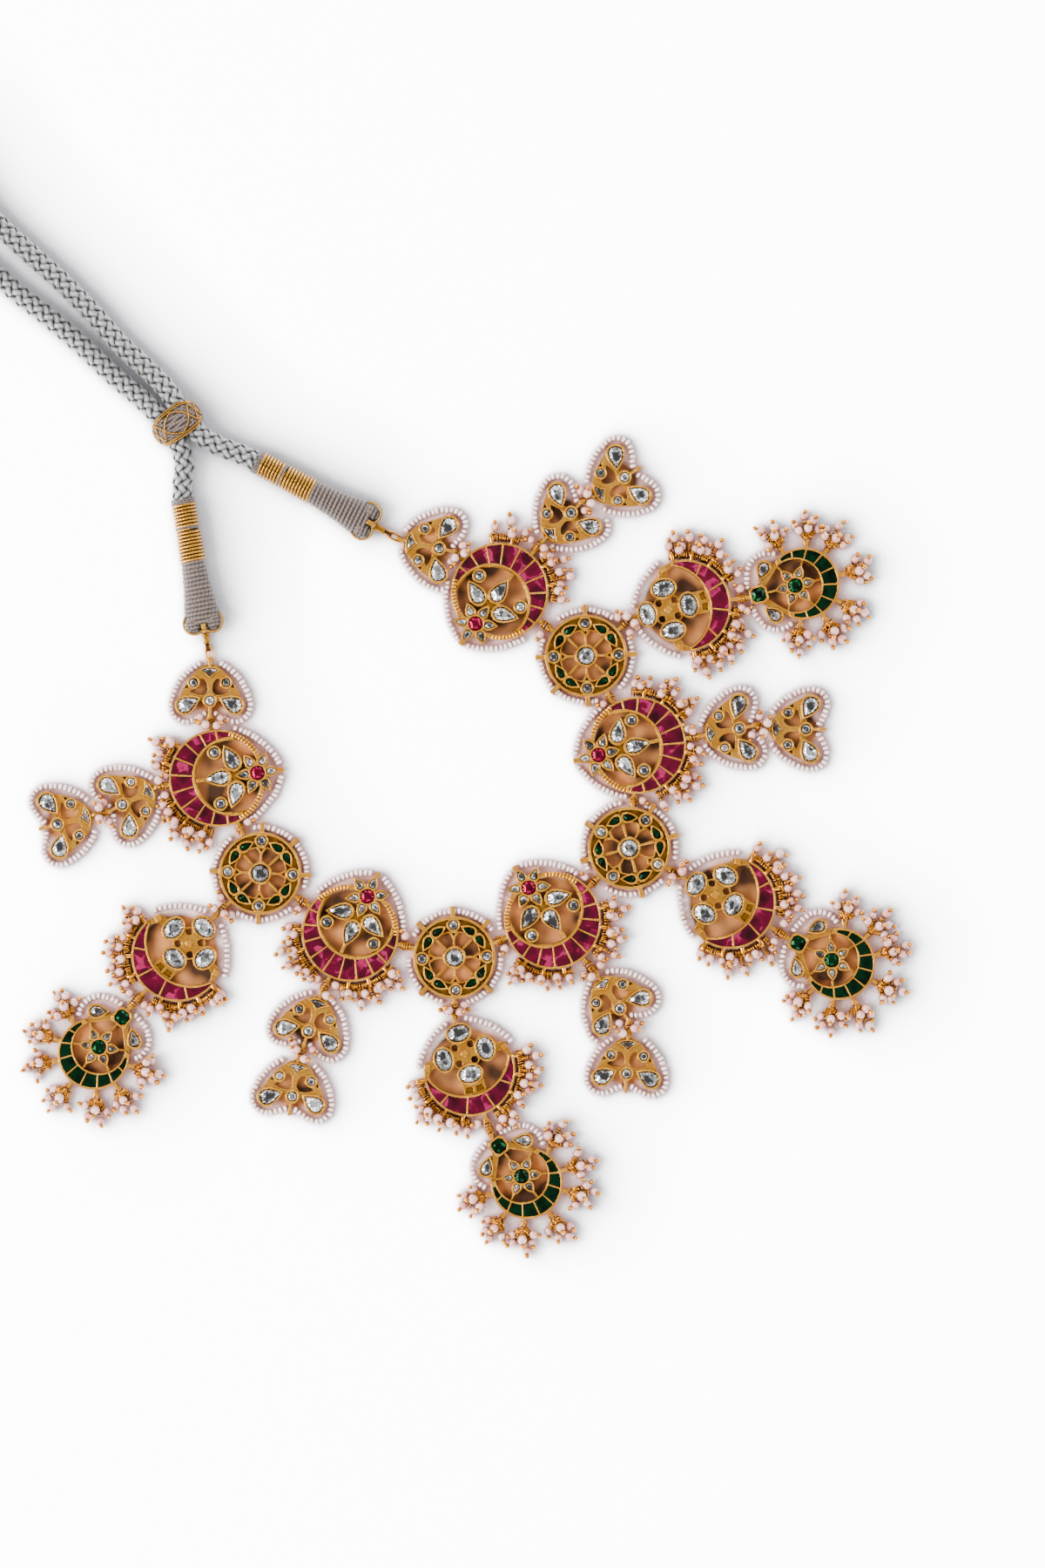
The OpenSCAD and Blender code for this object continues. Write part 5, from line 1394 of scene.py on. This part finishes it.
class StoneSetter:
    """Cut stones, each with a girdle, kite and star facets and a table, in their settings."""

    KITE = ((-0.26, -0.82), (-0.14, -0.875), (0, -0.895), (0.14, -0.875), (0.26, -0.82), (0.1, -0.735),
            (0, -0.645), (-0.1, -0.735))
    PETAL_WAYS = range(90, 450, 60)
    LOOKS = {"leaf_ruby": Look.RUBY, "wheel_greens": Look.GREEN, "pendant_emeralds": Look.GREEN}
    SAME_NODE = ("heart_drops", "heart_rounds", "heart_kites", "leaf_drops", "wheel_stones", "fan_ovals",
                 "pendant_emeralds", "pendant_ears")

    def __init__(self, layout: Layout) -> None:
        """Keeps the places.

        Args:
            layout: places of the plates.
        """
        self.layout = layout
        self.rng = np.random.default_rng(5)

    def petals(self, length: float, width: float, reach: float, y: float) -> list[Stone]:
        """Six small drops that point outwards round a middle stone."""
        petal = drop_outline(length, width, 10)
        middles = [polar(reach, way) + [0, y] for way in self.PETAL_WAYS]
        return [Stone("petals", petal, *at, way) for at, way in zip(middles, self.PETAL_WAYS)]

    def heart(self) -> list[Stone]:
        """Stones of one heart: two drops, a round, two dots and a kite."""
        z = self.layout.z
        w, h = z.heart_w / 2, z.heart_l
        kite_y = -0.79 * h
        kite = (np.array(self.KITE) * [w, h] - [0.0, kite_y]) * (1 - z.stone_gap)
        return [*Stone("drops", drop_outline(6.2, 4.3, 14), 0.655 * w, 0.085 * h, 207, TALL).both(),
                Stone("rounds", ellipse(2.7, 2.7, 12)),
                *Stone("dots", ellipse(2.3, 2.3, 10), 0.49 * w, -0.49 * h).both(),
                Stone("kites", kite, 0.0, kite_y)]

    def leaf(self) -> list[Stone]:
        """Stones of one leaf: three drops, two dots, a red round and its six petals."""
        r = self.layout.z.leaf_r
        drop, ruby_y = drop_outline(6.6, 3.9, 14), 0.835 * r
        drops = [Stone("drops", drop, x * r, y * r, turn, TALL)
                 for x, y, turn in ((0.381, 0.324, -22), (-0.381, 0.324, 202), (0, 0, -90))]
        return [*drops, *Stone("dots", ellipse(2.7, 2.7, 10), 0.532 * r).both(),
                Stone("ruby", ellipse(4.0, 4.0, 14), 0.0, ruby_y), *self.petals(3.0, 2.0, 4.1, ruby_y)]

    def wheel(self) -> list[Stone]:
        """Stones of one wheel: four rounds, eight green ones and the middle one."""
        r = self.layout.z.wheel_r
        leaf = drop_outline(3.6, 2.0, 10)
        rounds = [Stone("rounds", ellipse(2.6, 2.6, 10), *polar(0.792 * r, 90 * k)) for k in range(4)]
        greens = [Stone("greens", leaf, *polar(0.746 * r, way), way + turn)
                  for k in range(4) for turn, way in ((-90, 30 + 90 * k), (90, 60 + 90 * k))]
        return [*rounds, *greens, Stone("stones", ellipse(5.0, 5.0, 16), cut=TALL)]

    def fan(self) -> list[Stone]:
        """Stones of one fan: four ovals."""
        z = self.layout.z
        oval, r = ellipse(z.fan_oval_l, z.fan_oval_w, 16), z.fan_oval_r
        return [Stone("ovals", oval, x * r, y * r, turn, TALL)
                for x, y, turn in ((0, 1, 0), (1, 0, 90), (0, -0.97, 0), (-1, 0, 90))]

    def pendant(self) -> list[Stone]:
        """Stones of one green pendant: the middle and head stones, the ears and six petals."""
        r = self.layout.z.pendant_r
        h, c = self.layout.z.head_stone_w / 2, 1.0
        head = np.array([(h, -c), (h, c), (c, h), (-c, h), (-h, c), (-h, -c), (-c, -h), (c, -h)])
        return [Stone("emeralds", ellipse(4.0, 4.0, 14)), Stone("emeralds", head, 0.0, self.layout.head_y),
                *Stone("ears", drop_outline(4.8, 3.1, 12), 0.625 * r, 0.78 * r, 142, TALL).both(),
                *self.petals(2.5, 1.8, 3.9, 0.0)]

    def build(self) -> None:
        """Makes every kind of stone, one piece a kind, in place of the plain ones."""
        lay = self.layout
        foot = lay.z.seat_z + lay.z.stone_gap
        plates = {"heart": (self.heart(), lay.hearts), "leaf": (self.leaf(), lay.leaves),
                  "wheel": (self.wheel(), lay.wheels), "fan": (self.fan(), lay.fans),
                  "pendant": (self.pendant(), lay.pendants)}
        for plate, (stones, places) in plates.items():
            kinds: dict[str, list[Shape]] = {}
            for place in places:
                for stone in stones:
                    shape = stone.shape(foot, self.rng.uniform()).moved(place)
                    kinds.setdefault(f"{plate}_{stone.kind}", []).append(shape)
            for key, shapes in kinds.items():
                node = key if key in self.SAME_NODE else "leaf_rubies" if key == "leaf_ruby" else None
                write_piece(f"cut_{key}", joined(shapes), self.LOOKS.get(key, Look.CLEAR), node, smooth=False)


# Fringes of gold wire and pearls


@dataclass(frozen=True)
class Wire:
    """A coil of wire: half its width and height, the distance between turns, and its thickness."""

    r_side: float
    r_up: float
    pitch: float
    thick: float


class PearlWork:
    """Pearls on gold pins with ball heads, and coils of gold wire that carry them.

    The pearls of a fringe are of three kinds: beside its coil, on top of it, and beyond the first.
    A row of FRINGE gives a kind's least and most reach from the coil or the rim, how far the pin
    leans, and its least and most rise. A row of BUNCH gives a pearl's way, reach and height.
    """

    RIM_COIL = Wire(1.15, 1.05, 0.62, 0.4)
    STALK = Wire(0.62, 0.62, 0.62, 0.38)
    BUNCH_STALK = Wire(0.78, 0.8, 0.74, 0.48)
    BUNCH_CROSS = Wire(0.95, 0.9, 0.76, 0.5)
    JOINT_COIL = Wire(1.25, 1.1, 0.7, 0.4)
    FRINGE = np.array([(-0.5, 0.9, 0.45, 0.0, 0.9), (0.6, 2.0, 0.8, 0.3, 1.3), (2.3, 3.0, 0.4, 0.0, 0.7)])
    STAPLE = ((-0.3, 2.55), (0.2, 2.75), (1.6, 2.85), (2.5, 2.6), (2.9, 1.9))
    STAPLE_STEP = 23
    STAPLE_FREE = 20
    COIL_OUT = 1.3
    PEARL_OUT = 3.55
    PEARL_STEP = 2.8
    TOP_Z = 3.6
    BUNCH = np.array([(-64, 3.3, 1.5), (46, 4.1, 1.5), (-27, 4.7, 1.5), (9, 5.7, 1.5), (-4, 2.1, 4.0),
                      (74, 2.7, 3.9)])
    LEAF_ENDS = ((66, 48), (84, 84), (80, 76), (76, 78), (50, 80))
    LUG_WAYS = (0, 41, -41, 72, -72, 109, -109)
    JOINT_PEARLS = {"leaf_wheel": 1, "leaf_heart": 3, "heart_heart": 4, "wheel_fan": 4, "fan_pendant": 2,
                    "ends": 4, "ties": 0}
    FIVE_SHARE = 0.4
    BAIL_OUT = 1.15
    BAIL_HALF = (1.45, 0.6)
    BAIL_WIRE = (0.8, 1.0)
    BAIL_END = 2.6
    CROSS_HALF = 1.7
    LINK_HALF_W = 0.85
    HEAD_OUT = 1.98
    LOW_Z = 1.5

    def __init__(self, layout: Layout) -> None:
        """Shapes one pearl, one head and one pin.

        Args:
            layout: places of the plates.
        """
        self.layout = layout
        self.pearl = ball(layout.z.pearl_d * 0.96, 8, 12)
        self.head = ball(1.45, 6, 9)
        self.pin = lathe(np.array([[0, 1.2], [0.24, 1.2], [0.24, 2.0], [0, 2.0]]), 6)
        self.rng = np.random.default_rng(23)

    def pearls(self, at: np.ndarray, pins: np.ndarray) -> tuple[Shape, Shape]:
        """Pearls with their pins and heads.

        Args:
            at: (k, 3) middles.
            pins: (k, 3) ways that the pins stick out.

        Returns:
            The pearls, and the gold on them: each head lies HEAD_OUT along its pin.
        """
        k, out = len(at), unit(pins)
        axes = frames(pins, np.where(np.abs(out[:, 2:]) > 0.8, [[1.0, 0, 0]], [[0, 0, 1.0]]))
        size = self.rng.uniform(0.88, 1.04, k)
        tint = self.rng.uniform(0, 1, k)
        head_at = at + out * (self.HEAD_OUT * size)[:, None]
        heads = scatter(self.head, head_at, axes, self.rng.uniform(0.85, 1.1, k), tint)
        wires = scatter(self.pin, at, axes, size, tint)
        return scatter(self.pearl, at, axes, size, tint), joined([heads, wires])

    def coil(self, spine: np.ndarray, wire: Wire) -> Shape:
        """Wire coiled about a line, its turns drawn together in bunches.

        The phase is 2 pi (s / pitch) + 1.6 sin(2 pi s / 3.1), so turns crowd and spread.

        Args:
            spine: middle line.
            wire: sizes of the coil.

        Returns:
            The wire's surface.
        """
        line = resampled(spine, wire.pitch / 10)
        s = reaches(line)
        start = self.rng.uniform(0, 6)
        phase = 2 * np.pi * s / wire.pitch + 1.6 * np.sin(2 * np.pi * s / 3.1 + start)
        swell = 1 + 0.09 * np.sin(s * 2.7 + start) + 0.06 * np.sin(s * 5.3 + 2 * start)
        path, out = helix(line, wire.r_side * swell, wire.r_up * (2 - swell) * 0.97, phase)
        return sweep(path, ellipse(wire.thick, wire.thick, 5), out)

    @staticmethod
    def from_rim(reach: np.ndarray, way: np.ndarray, height: np.ndarray) -> np.ndarray:
        """Points at an angle from -Y of a plate's frame: (r sin a, -r cos a, z)."""
        return np.stack(np.broadcast_arrays(reach * np.sin(way), -reach * np.cos(way), height), -1)

    def fringe(self, rim: Place, r: float, low: float, high: float) -> tuple[Shape, Shape]:
        """One fringe along a rim: a coil, pearls beside it on the floor, and pearls on top of it.

        Args:
            rim: middle of the rim's circle and the plate's angle.
            r: radius of the rim.
            low: first end in degrees from -Y.
            high: last end.

        Returns:
            The pearls and the gold.
        """
        rng = self.rng
        gap = self.layout.z.trim_gap
        near, far = r + gap + self.COIL_OUT, r + gap + self.PEARL_OUT
        arc = self.from_rim(near, np.radians(np.linspace(low + 1, high - 1, 60)), self.LOW_Z)
        gold = [self.coil(placed(arc, rim), self.RIM_COIL)]
        step = math.degrees(self.PEARL_STEP / far)
        count = max(int((high - low - step) / step), 1)
        beside = np.linspace(low + step * 0.55, high - step * 0.55, count) + rng.normal(0, 0.12 * step, count)
        on_top = np.sort(rng.uniform(low + step * 0.5, high - step * 0.5, max(int(count * 0.9), 1)))
        on_top = on_top[np.concatenate([[True], np.diff(on_top) > step * 0.9])]
        past = (beside[1:] + beside[:-1])[rng.uniform(0, 1, len(beside) - 1) < 0.55] / 2
        numbers = [len(beside), len(on_top), len(past)]
        kind = np.repeat(np.arange(3), numbers)
        least, most, lean, low_rise, high_rise = self.FRINGE[kind].T
        reach = np.where(kind == 1, near, far) + rng.uniform(least, most)
        rise = [self.LOW_Z + np.abs(rng.normal(0, 0.2, numbers[0])),
                self.TOP_Z + rng.uniform(0, 0.5, numbers[1]), np.full(numbers[2], self.LOW_Z)]
        way = np.radians(np.concatenate([beside, on_top, past]))
        flat = self.from_rim(reach, way, np.concatenate(rise))
        at = placed(flat, rim)
        lean = way + rng.normal(0, lean)
        pins = placed(self.from_rim(1.0, lean, rng.uniform(low_rise, high_rise)), (0.0, 0.0, rim[2]))
        pearls, heads = self.pearls(at, pins)
        inner = placed(flat * ((near + 0.4) / reach)[:, None] * LEVEL + UP * 2.0, rim)
        for start, end in zip(inner[kind != 1], at[kind != 1]):
            gold.append(self.coil(np.linspace(start, start + (end - start) * 0.8, 5), self.STALK))
        out, over = np.array(self.STAPLE).T
        first = math.ceil(low / self.STAPLE_STEP) * self.STAPLE_STEP
        for turn in np.arange(first, high, self.STAPLE_STEP):
            if abs(turn) > self.STAPLE_FREE:
                path = placed(self.from_rim(r + out, math.radians(turn), over), rim)
                gold.append(sweep(smooth_path(path, 0.25), ellipse(1.15, 0.5, 8), UP))
        return pearls, joined(gold + [heads])

    def leaf_fringes(self) -> tuple[Shape, Shape]:
        """Fringes of the five leaves."""
        return joined_pairs([self.fringe(leaf, self.layout.z.leaf_r, low, high)
                             for leaf, (left, right) in zip(self.layout.leaves, self.LEAF_ENDS)
                             for low, high in ((-left, -13), (13, right))])

    def fan_fringes(self) -> tuple[Shape, Shape]:
        """Fringes of the four fans."""
        return joined_pairs([self.fringe((*at, fan[2]), self.layout.z.fan_r, low, high)
                             for at, fan in zip(self.layout.crescents, self.layout.fans)
                             for low, high in ((-97, -13), (13, 97))])

    def bunch(self, at: np.ndarray, way: float) -> tuple[Shape, Shape]:
        """Five pearls, or six, wired to one bail that points along a way.

        Args:
            at: the lug's hole.
            way: degrees of the bunch from the lug.

        Returns:
            The pearls and the gold: a long bail, and a little coil from it to each pearl.
        """
        rng = self.rng
        out, side = basis(way)
        root = np.array([*at, self.layout.z.plate_t])
        long, wide = out * self.BAIL_HALF[0], side * self.BAIL_HALF[1]
        bail = spun(root + out * self.BAIL_OUT, long, wide, full_turn(24))
        gold = [sweep(bail, ellipse(*self.BAIL_WIRE, 8), UP, closed=True)]
        end = root + out * self.BAIL_END
        ask = self.BUNCH[:5] if rng.uniform() < self.FIVE_SHARE else self.BUNCH
        n = len(ask)
        spread = np.radians(ask[:, 0] + rng.normal(0, 6, n))
        reach = ask[:, 1:2] + rng.uniform(-0.25, 0.35, (n, 1))
        rise = np.maximum(ask[:, 2:] + rng.normal(0, 0.12, (n, 1)), 1.46)
        middles = end * LEVEL + reach * spun(np.zeros(3), out, side, spread) + rise * UP
        lean = spread + rng.normal(0, 0.35, n)
        pins = spun(np.zeros(3), out, side, lean) + UP * rng.uniform(0.0, 1.1, (n, 1))
        for middle in middles:
            line = np.linspace(end - out * 0.5 + UP * 0.5, end + (middle - end) * 0.72 + UP * 0.5, 6)
            gold.append(self.coil(line, self.BUNCH_STALK))
        for shift in (0.0, 0.9):
            top = end + out * (0.4 + shift) + UP * (0.9 - 0.3 * shift)
            aside, low = side * self.CROSS_HALF, end + UP * 0.2
            cross = np.array([low - aside, top, low + aside])
            gold.append(self.coil(smooth_path(cross, 0.3), self.BUNCH_CROSS))
        pearls, heads = self.pearls(middles, pins)
        return pearls, joined(gold + [heads])

    def pendant_fringes(self) -> tuple[Shape, Shape]:
        """Bunches at the seven lugs of each green pendant."""
        lay = self.layout
        holes = [(a - 90, polar(lay.z.pendant_r + lay.z.lug_out, a - 90) - [0, lay.pendant_drop])
                 for a in self.LUG_WAYS]
        return joined_pairs([self.bunch(lay.spot(place, *hole), way + place[2])
                             for place in lay.pendants for way, hole in holes])

    def joint_bunches(self) -> tuple[Shape, Shape]:
        """Links that join two plates, wound with wire and hung with pearls.

        Returns:
            The pearls and the gold: a long link through both lugs, a coil over it, and pearls to
            both sides and on top.
        """
        rng = self.rng
        wire = self.layout.z.ring_wire
        middles, pins, gold = [], [], []
        joints = [(count, a, b) for kind, count in self.JOINT_PEARLS.items()
                  for a, b in self.layout.links[kind]]
        for count, a, b in joints:
            reach = float(np.linalg.norm(b - a)) / 2
            out, side = basis(heading(a, b))
            base = np.array([*(a + b) / 2, self.layout.z.plate_t + 0.1])
            link = spun(base, (reach + wire) * out, self.LINK_HALF_W * side, full_turn(28))
            gold.append(sweep(link, ellipse(wire, wire * 1.3, 8), UP, closed=True))
            if count:
                line = base + UP * 0.5 + np.linspace(-0.75, 0.75, 8)[:, None] * reach * out
                gold.append(self.coil(line, self.JOINT_COIL))
            hands = ([1, -1] if rng.uniform() < 0.5 else [-1, 1]) * 2
            for k, hand in enumerate(hands[:count]):
                high = k >= 2
                off = (1.3 if high else 2.5) + rng.uniform(0, 0.5)
                slip = rng.uniform(-0.7, 0.7) * reach + (0.8 if high else -0.8)
                rise = 4.1 + rng.uniform(0, 0.3) if high else 1.55
                middles.append(base * LEVEL + side * hand * off + out * slip + UP * rise)
                pins.append(side * hand + out * rng.normal(0, 0.6) + UP * rng.uniform(0.2, 1.2))
        pearls, heads = self.pearls(np.array(middles), np.array(pins))
        return pearls, joined(gold + [heads])

    def build(self) -> None:
        """Makes the fringes of every kind of plate in place of the plain ones, and dresses the joints."""
        kinds = {"leaf": self.leaf_fringes(), "fan": self.fan_fringes(), "pendant": self.pendant_fringes(),
                 "joint": self.joint_bunches()}
        for kind, (pearls, gold) in kinds.items():
            nodes = (None, "jump_rings") if kind == "joint" else (f"{kind}_fringes", f"{kind}_fringes")
            write_piece(f"{kind}_pearls", pearls, Look.PEARL, nodes[0])
            write_piece(f"{kind}_wire", gold, Look.WIRE_GOLD, nodes[1])


# Metal trims and plates


@dataclass
class PlateTrims:
    """Small raised work on the plates: ribs across the leaves' upper rims."""

    layout: Layout
    pitch: float = 1.0
    first: float = 113.0
    last: float = 156.0
    sunk: float = 0.28
    profile: tuple = ((-0.66, 0, 0), (-0.58, 0, 0.1), (0, 0, 0.16), (0.58, 0, 0.1), (0.66, 0, 0))

    def build(self) -> None:
        """Makes the ribs, short rounded bars across each rim at even steps of its circle."""
        z = self.layout.z
        bar = sweep(np.array(self.profile), ellipse(0.62, 0.5, 8), UP)
        r = z.leaf_r - z.leaf_rim / 2
        steps = np.arange(self.first, self.last, math.degrees(self.pitch / r))
        ways = np.concatenate([steps, -steps])
        at = PearlWork.from_rim(r, np.radians(ways), z.wall_h - self.sunk)
        parts = []
        for leaf in self.layout.leaves:
            axes = np.array([(*basis(way - 90 + leaf[2]), UP) for way in ways])
            parts.append(scatter(bar, placed(at, leaf), axes, np.ones(len(ways)), np.zeros(len(ways))))
        write_piece("leaf_rim_ribs", joined(parts), Look.PLATE_GOLD)


def dress_plates(nodes: dict[str, bpy.types.Object]) -> None:
    """Gives every solid that shows its finish: gilding on plates and rings, glass on the panes.

    Args:
        nodes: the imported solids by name.
    """
    starts = {"heart": Look.HEART_GOLD, "leaf": Look.PLATE_GOLD, "wheel": Look.WHEEL_GOLD,
              "fan": Look.PLATE_GOLD, "pendant": Look.PLATE_GOLD, "jump": Look.WIRE_GOLD}
    named = {"leaf_red_panes": Look.RED, "fan_red_panes": Look.RED, "pendant_green_panes": Look.GREEN}
    for name, node in nodes.items():
        look = named.get(name) or starts.get(name.split("_")[0])
        if look is None:
            continue
        node.data.materials.clear()
        node.data.materials.append(look.material())
        LOG.info("%s: %s", name, look.name.lower())


# Floor, lights and camera


@dataclass(frozen=True)
class PaleFloor(Finish):
    """Bright floor with painted light and shade: a painted glow where it is open, painted brown shade
    under the plates, and painted shade near them tinted by the metal that crowds it.
    """

    layout: Layout
    # strength of the painted glow that keeps the open floor bright
    painted_glow: float = 10.5

    def beyond_plates(self, t: Tree, place: object) -> bpy.types.NodeSocket:
        """Distance of a point of the floor beyond the nearest plate, in metres, negative under it.

        Args:
            t: the floor's node tree.
            place: its coordinates.

        Returns:
            The least of |P - C| - r over discs of the plates' sizes.
        """
        lay, z = self.layout, self.layout.z
        hearts = [lay.spot(heart, 0.0, -2.6) for heart in lay.hearts]
        rows = ((hearts, 6.2), (lay.leaves, z.leaf_r - 1.0), (lay.wheels, z.wheel_r - 1.2),
                (lay.pendants, z.pendant_r - 1.0), (lay.crescents, z.fan_r - 1.0), (lay.fans, 6.5))
        least = 1.0
        for middles, r in rows:
            for at in middles:
                middle = (at[0] * MM, at[1] * MM, 0.0)
                far = t.add("VectorMath", {0: place, 1: middle}, operation="DISTANCE")["Value"]
                least = t.math("MINIMUM", least, t.less(far, r * MM))
        return least

    def inputs(self, t: Tree, place: object) -> dict:
        """Pale with a painted glow where it is open, painted rosy shade near the plates, a painted soft
        shadow away from the key lamp, and patchy painted brown shade and gold bounce under them.
        """
        # direction towards the key lamp, for the painted soft shadow
        aside = t.add("VectorMath", {0: (-0.9, -0.15, 0.5)}, operation="NORMALIZE")[0]
        # painted contact shade: surfaces close by take away the glow and tint the floor
        outside_contact_shade = t.ramp(t.open_to(4, 4), 0.35, 0.86)
        # share open towards the key lamp, for the painted soft shadow
        lit = t.open_to(32, 6, Normal=aside)
        beyond = self.beyond_plates(t, place)
        under = t.ramp(beyond, -1.0 * MM, 0.8 * MM, 1.0, 0.0)
        around = t.ramp(beyond, 6.0 * MM, 14.0 * MM, 1.0, 0.0)
        faint = t.ramp(t.noise(place, 1 / (60.0 * MM), 2.0), 0.3, 0.7)
        pale = t.blend(faint, (0.83, 0.84, 0.86), (0.86, 0.865, 0.875))
        # painted soft shadow on the side away from the key lamp
        pale = t.blend(t.ramp(lit, 0.72, 0.995), (0.40, 0.40, 0.44), pale)
        # colour of the painted contact shade: rosy near the plates, grey further off
        contact_shade_colour = t.blend(around, (0.40, 0.40, 0.43), (0.58, 0.29, 0.25))
        # painted brown shade and gold bounce under the plates, in blotches
        under_shade_mottle = t.ramp(t.noise(place, 1 / (9.0 * MM), 1.0), 0.36, 0.66)
        under_plate_shade = t.blend(under_shade_mottle, (0.032, 0.011, 0.002), (0.48, 0.19, 0.055))
        # mask of the painted glow, taken away in the painted shade and shadow
        clear = t.times(t.times(outside_contact_shade, t.less(1.0, under)), t.ramp(lit, 0.72, 0.995, 0.02, 1.0))
        return {"Base Color": t.blend(under, t.blend(outside_contact_shade, contact_shade_colour, pale), under_plate_shade),
                "Emission Color": t.blend(clear, (0.0, 0.0, 0.0), (0.98, 0.985, 1.0)),
                "Emission Strength": self.painted_glow, "Roughness": 0.7, "Specular IOR Level": 0.2}


@dataclass
class Studio:
    """Pale floor with painted glow and shade under broad soft light, seen from straight above.

    A row of lamps is a light's name, its place and the side of its square in metres, its power in
    watts and its colour.
    """

    layout: Layout
    middle: tuple[float, float] = (19.5, 49.75)
    view_h: float = 450.0
    height: float = 1900.0
    sensor: float = 36.0
    floor_half: float = 2500.0
    floor_z: float = -0.02
    lamps: tuple = (
        ("broad_left", (-1.1, -0.1, 1.0), 0.8, 58.0, (1.0, 0.99, 0.98)),
        ("broad_right", (1.1, 0.45, 1.0), 0.7, 13.0, (0.98, 0.99, 1.0)),
        ("broad_below", (0.1, -1.1, 1.1), 0.7, 13.0, (1.0, 0.985, 0.97)),
        ("broad_above", (0.0, 1.25, 0.9), 0.6, 10.0, (1.0, 1.0, 1.0)),
    )

    @staticmethod
    def put(name: str, data: bpy.types.ID) -> bpy.types.Object:
        """Object of some data, in the scene."""
        thing = bpy.data.objects.new(name, data)
        bpy.context.scene.collection.objects.link(thing)
        return thing

    def camera(self) -> None:
        """Camera over the middle of the view: lens = sensor height x distance / height seen."""
        data = bpy.data.cameras.new("overhead")
        data.sensor_fit = "VERTICAL"
        data.sensor_height = self.sensor
        data.lens = self.sensor * self.height / self.view_h
        data.clip_start, data.clip_end = 0.05, 20.0
        camera = self.put("overhead", data)
        camera.location = Vector((*self.middle, self.height)) * MM
        bpy.context.scene.camera = camera

    def floor(self) -> None:
        """Floor just under the plates."""
        h = self.floor_half
        corners = [(x * MM, y * MM, self.floor_z * MM) for x, y in ((-h, -h), (h, -h), (h, h), (-h, h))]
        mesh = bpy.data.meshes.new("floor")
        mesh.from_pydata(corners, [], [(0, 1, 2, 3)])
        mesh.materials.append(PaleFloor("pale_floor", self.layout).material())
        self.put("floor", mesh)

    def lights(self) -> None:
        """Square lights that face the middle of the view."""
        for name, at, size, power, colour in self.lamps:
            data = bpy.data.lights.new(name, "AREA")
            data.shape, data.size, data.energy, data.color = "SQUARE", size, power, colour
            lamp = self.put(name, data)
            lamp.location = at
            aim = Vector((*self.middle, 0.0)) * MM - Vector(at)
            lamp.rotation_euler = aim.to_track_quat("-Z", "Y").to_euler()

    def world(self) -> None:
        """Even pale surroundings, brightest straight above, so that flat gilding shines."""
        world = bpy.data.worlds.new("surroundings")
        world.use_nodes = True
        world.node_tree.nodes.clear()
        t = Tree(world.node_tree)
        high = t.ramp(t.part(t.add("TexCoord")["Generated"], "Z"), 0.83, 0.96)
        tone = t.blend(high, (0.72, 0.73, 0.75), (0.92, 0.92, 0.92))
        t.add("OutputWorld", {0: t.add("Background", {"Color": tone, "Strength": 1.0})[0]})
        bpy.context.scene.world = world

    def build(self) -> None:
        """Makes the camera, the floor, the lights and the surroundings."""
        self.camera()
        self.floor()
        self.lights()
        self.world()


def main() -> None:
    """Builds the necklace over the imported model, piece by piece."""
    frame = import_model()
    layout = Layout(Sizes())
    Studio(layout).build()
    route = CordRoute(layout)
    braid = BraidedCord(route)
    cord = braid.build()
    braid.declare(WrappedEnds(route).build() + KnitSlider(route).build())
    SeedStrings(layout).build()
    StoneSetter(layout).build()
    PearlWork(layout).build()
    PlateTrims(layout).build()
    dress_plates(frame["nodes"])
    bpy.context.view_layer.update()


if __name__ == "__main__":
    logging.basicConfig(level=logging.INFO, format="%(name)s: %(message)s")
    main()
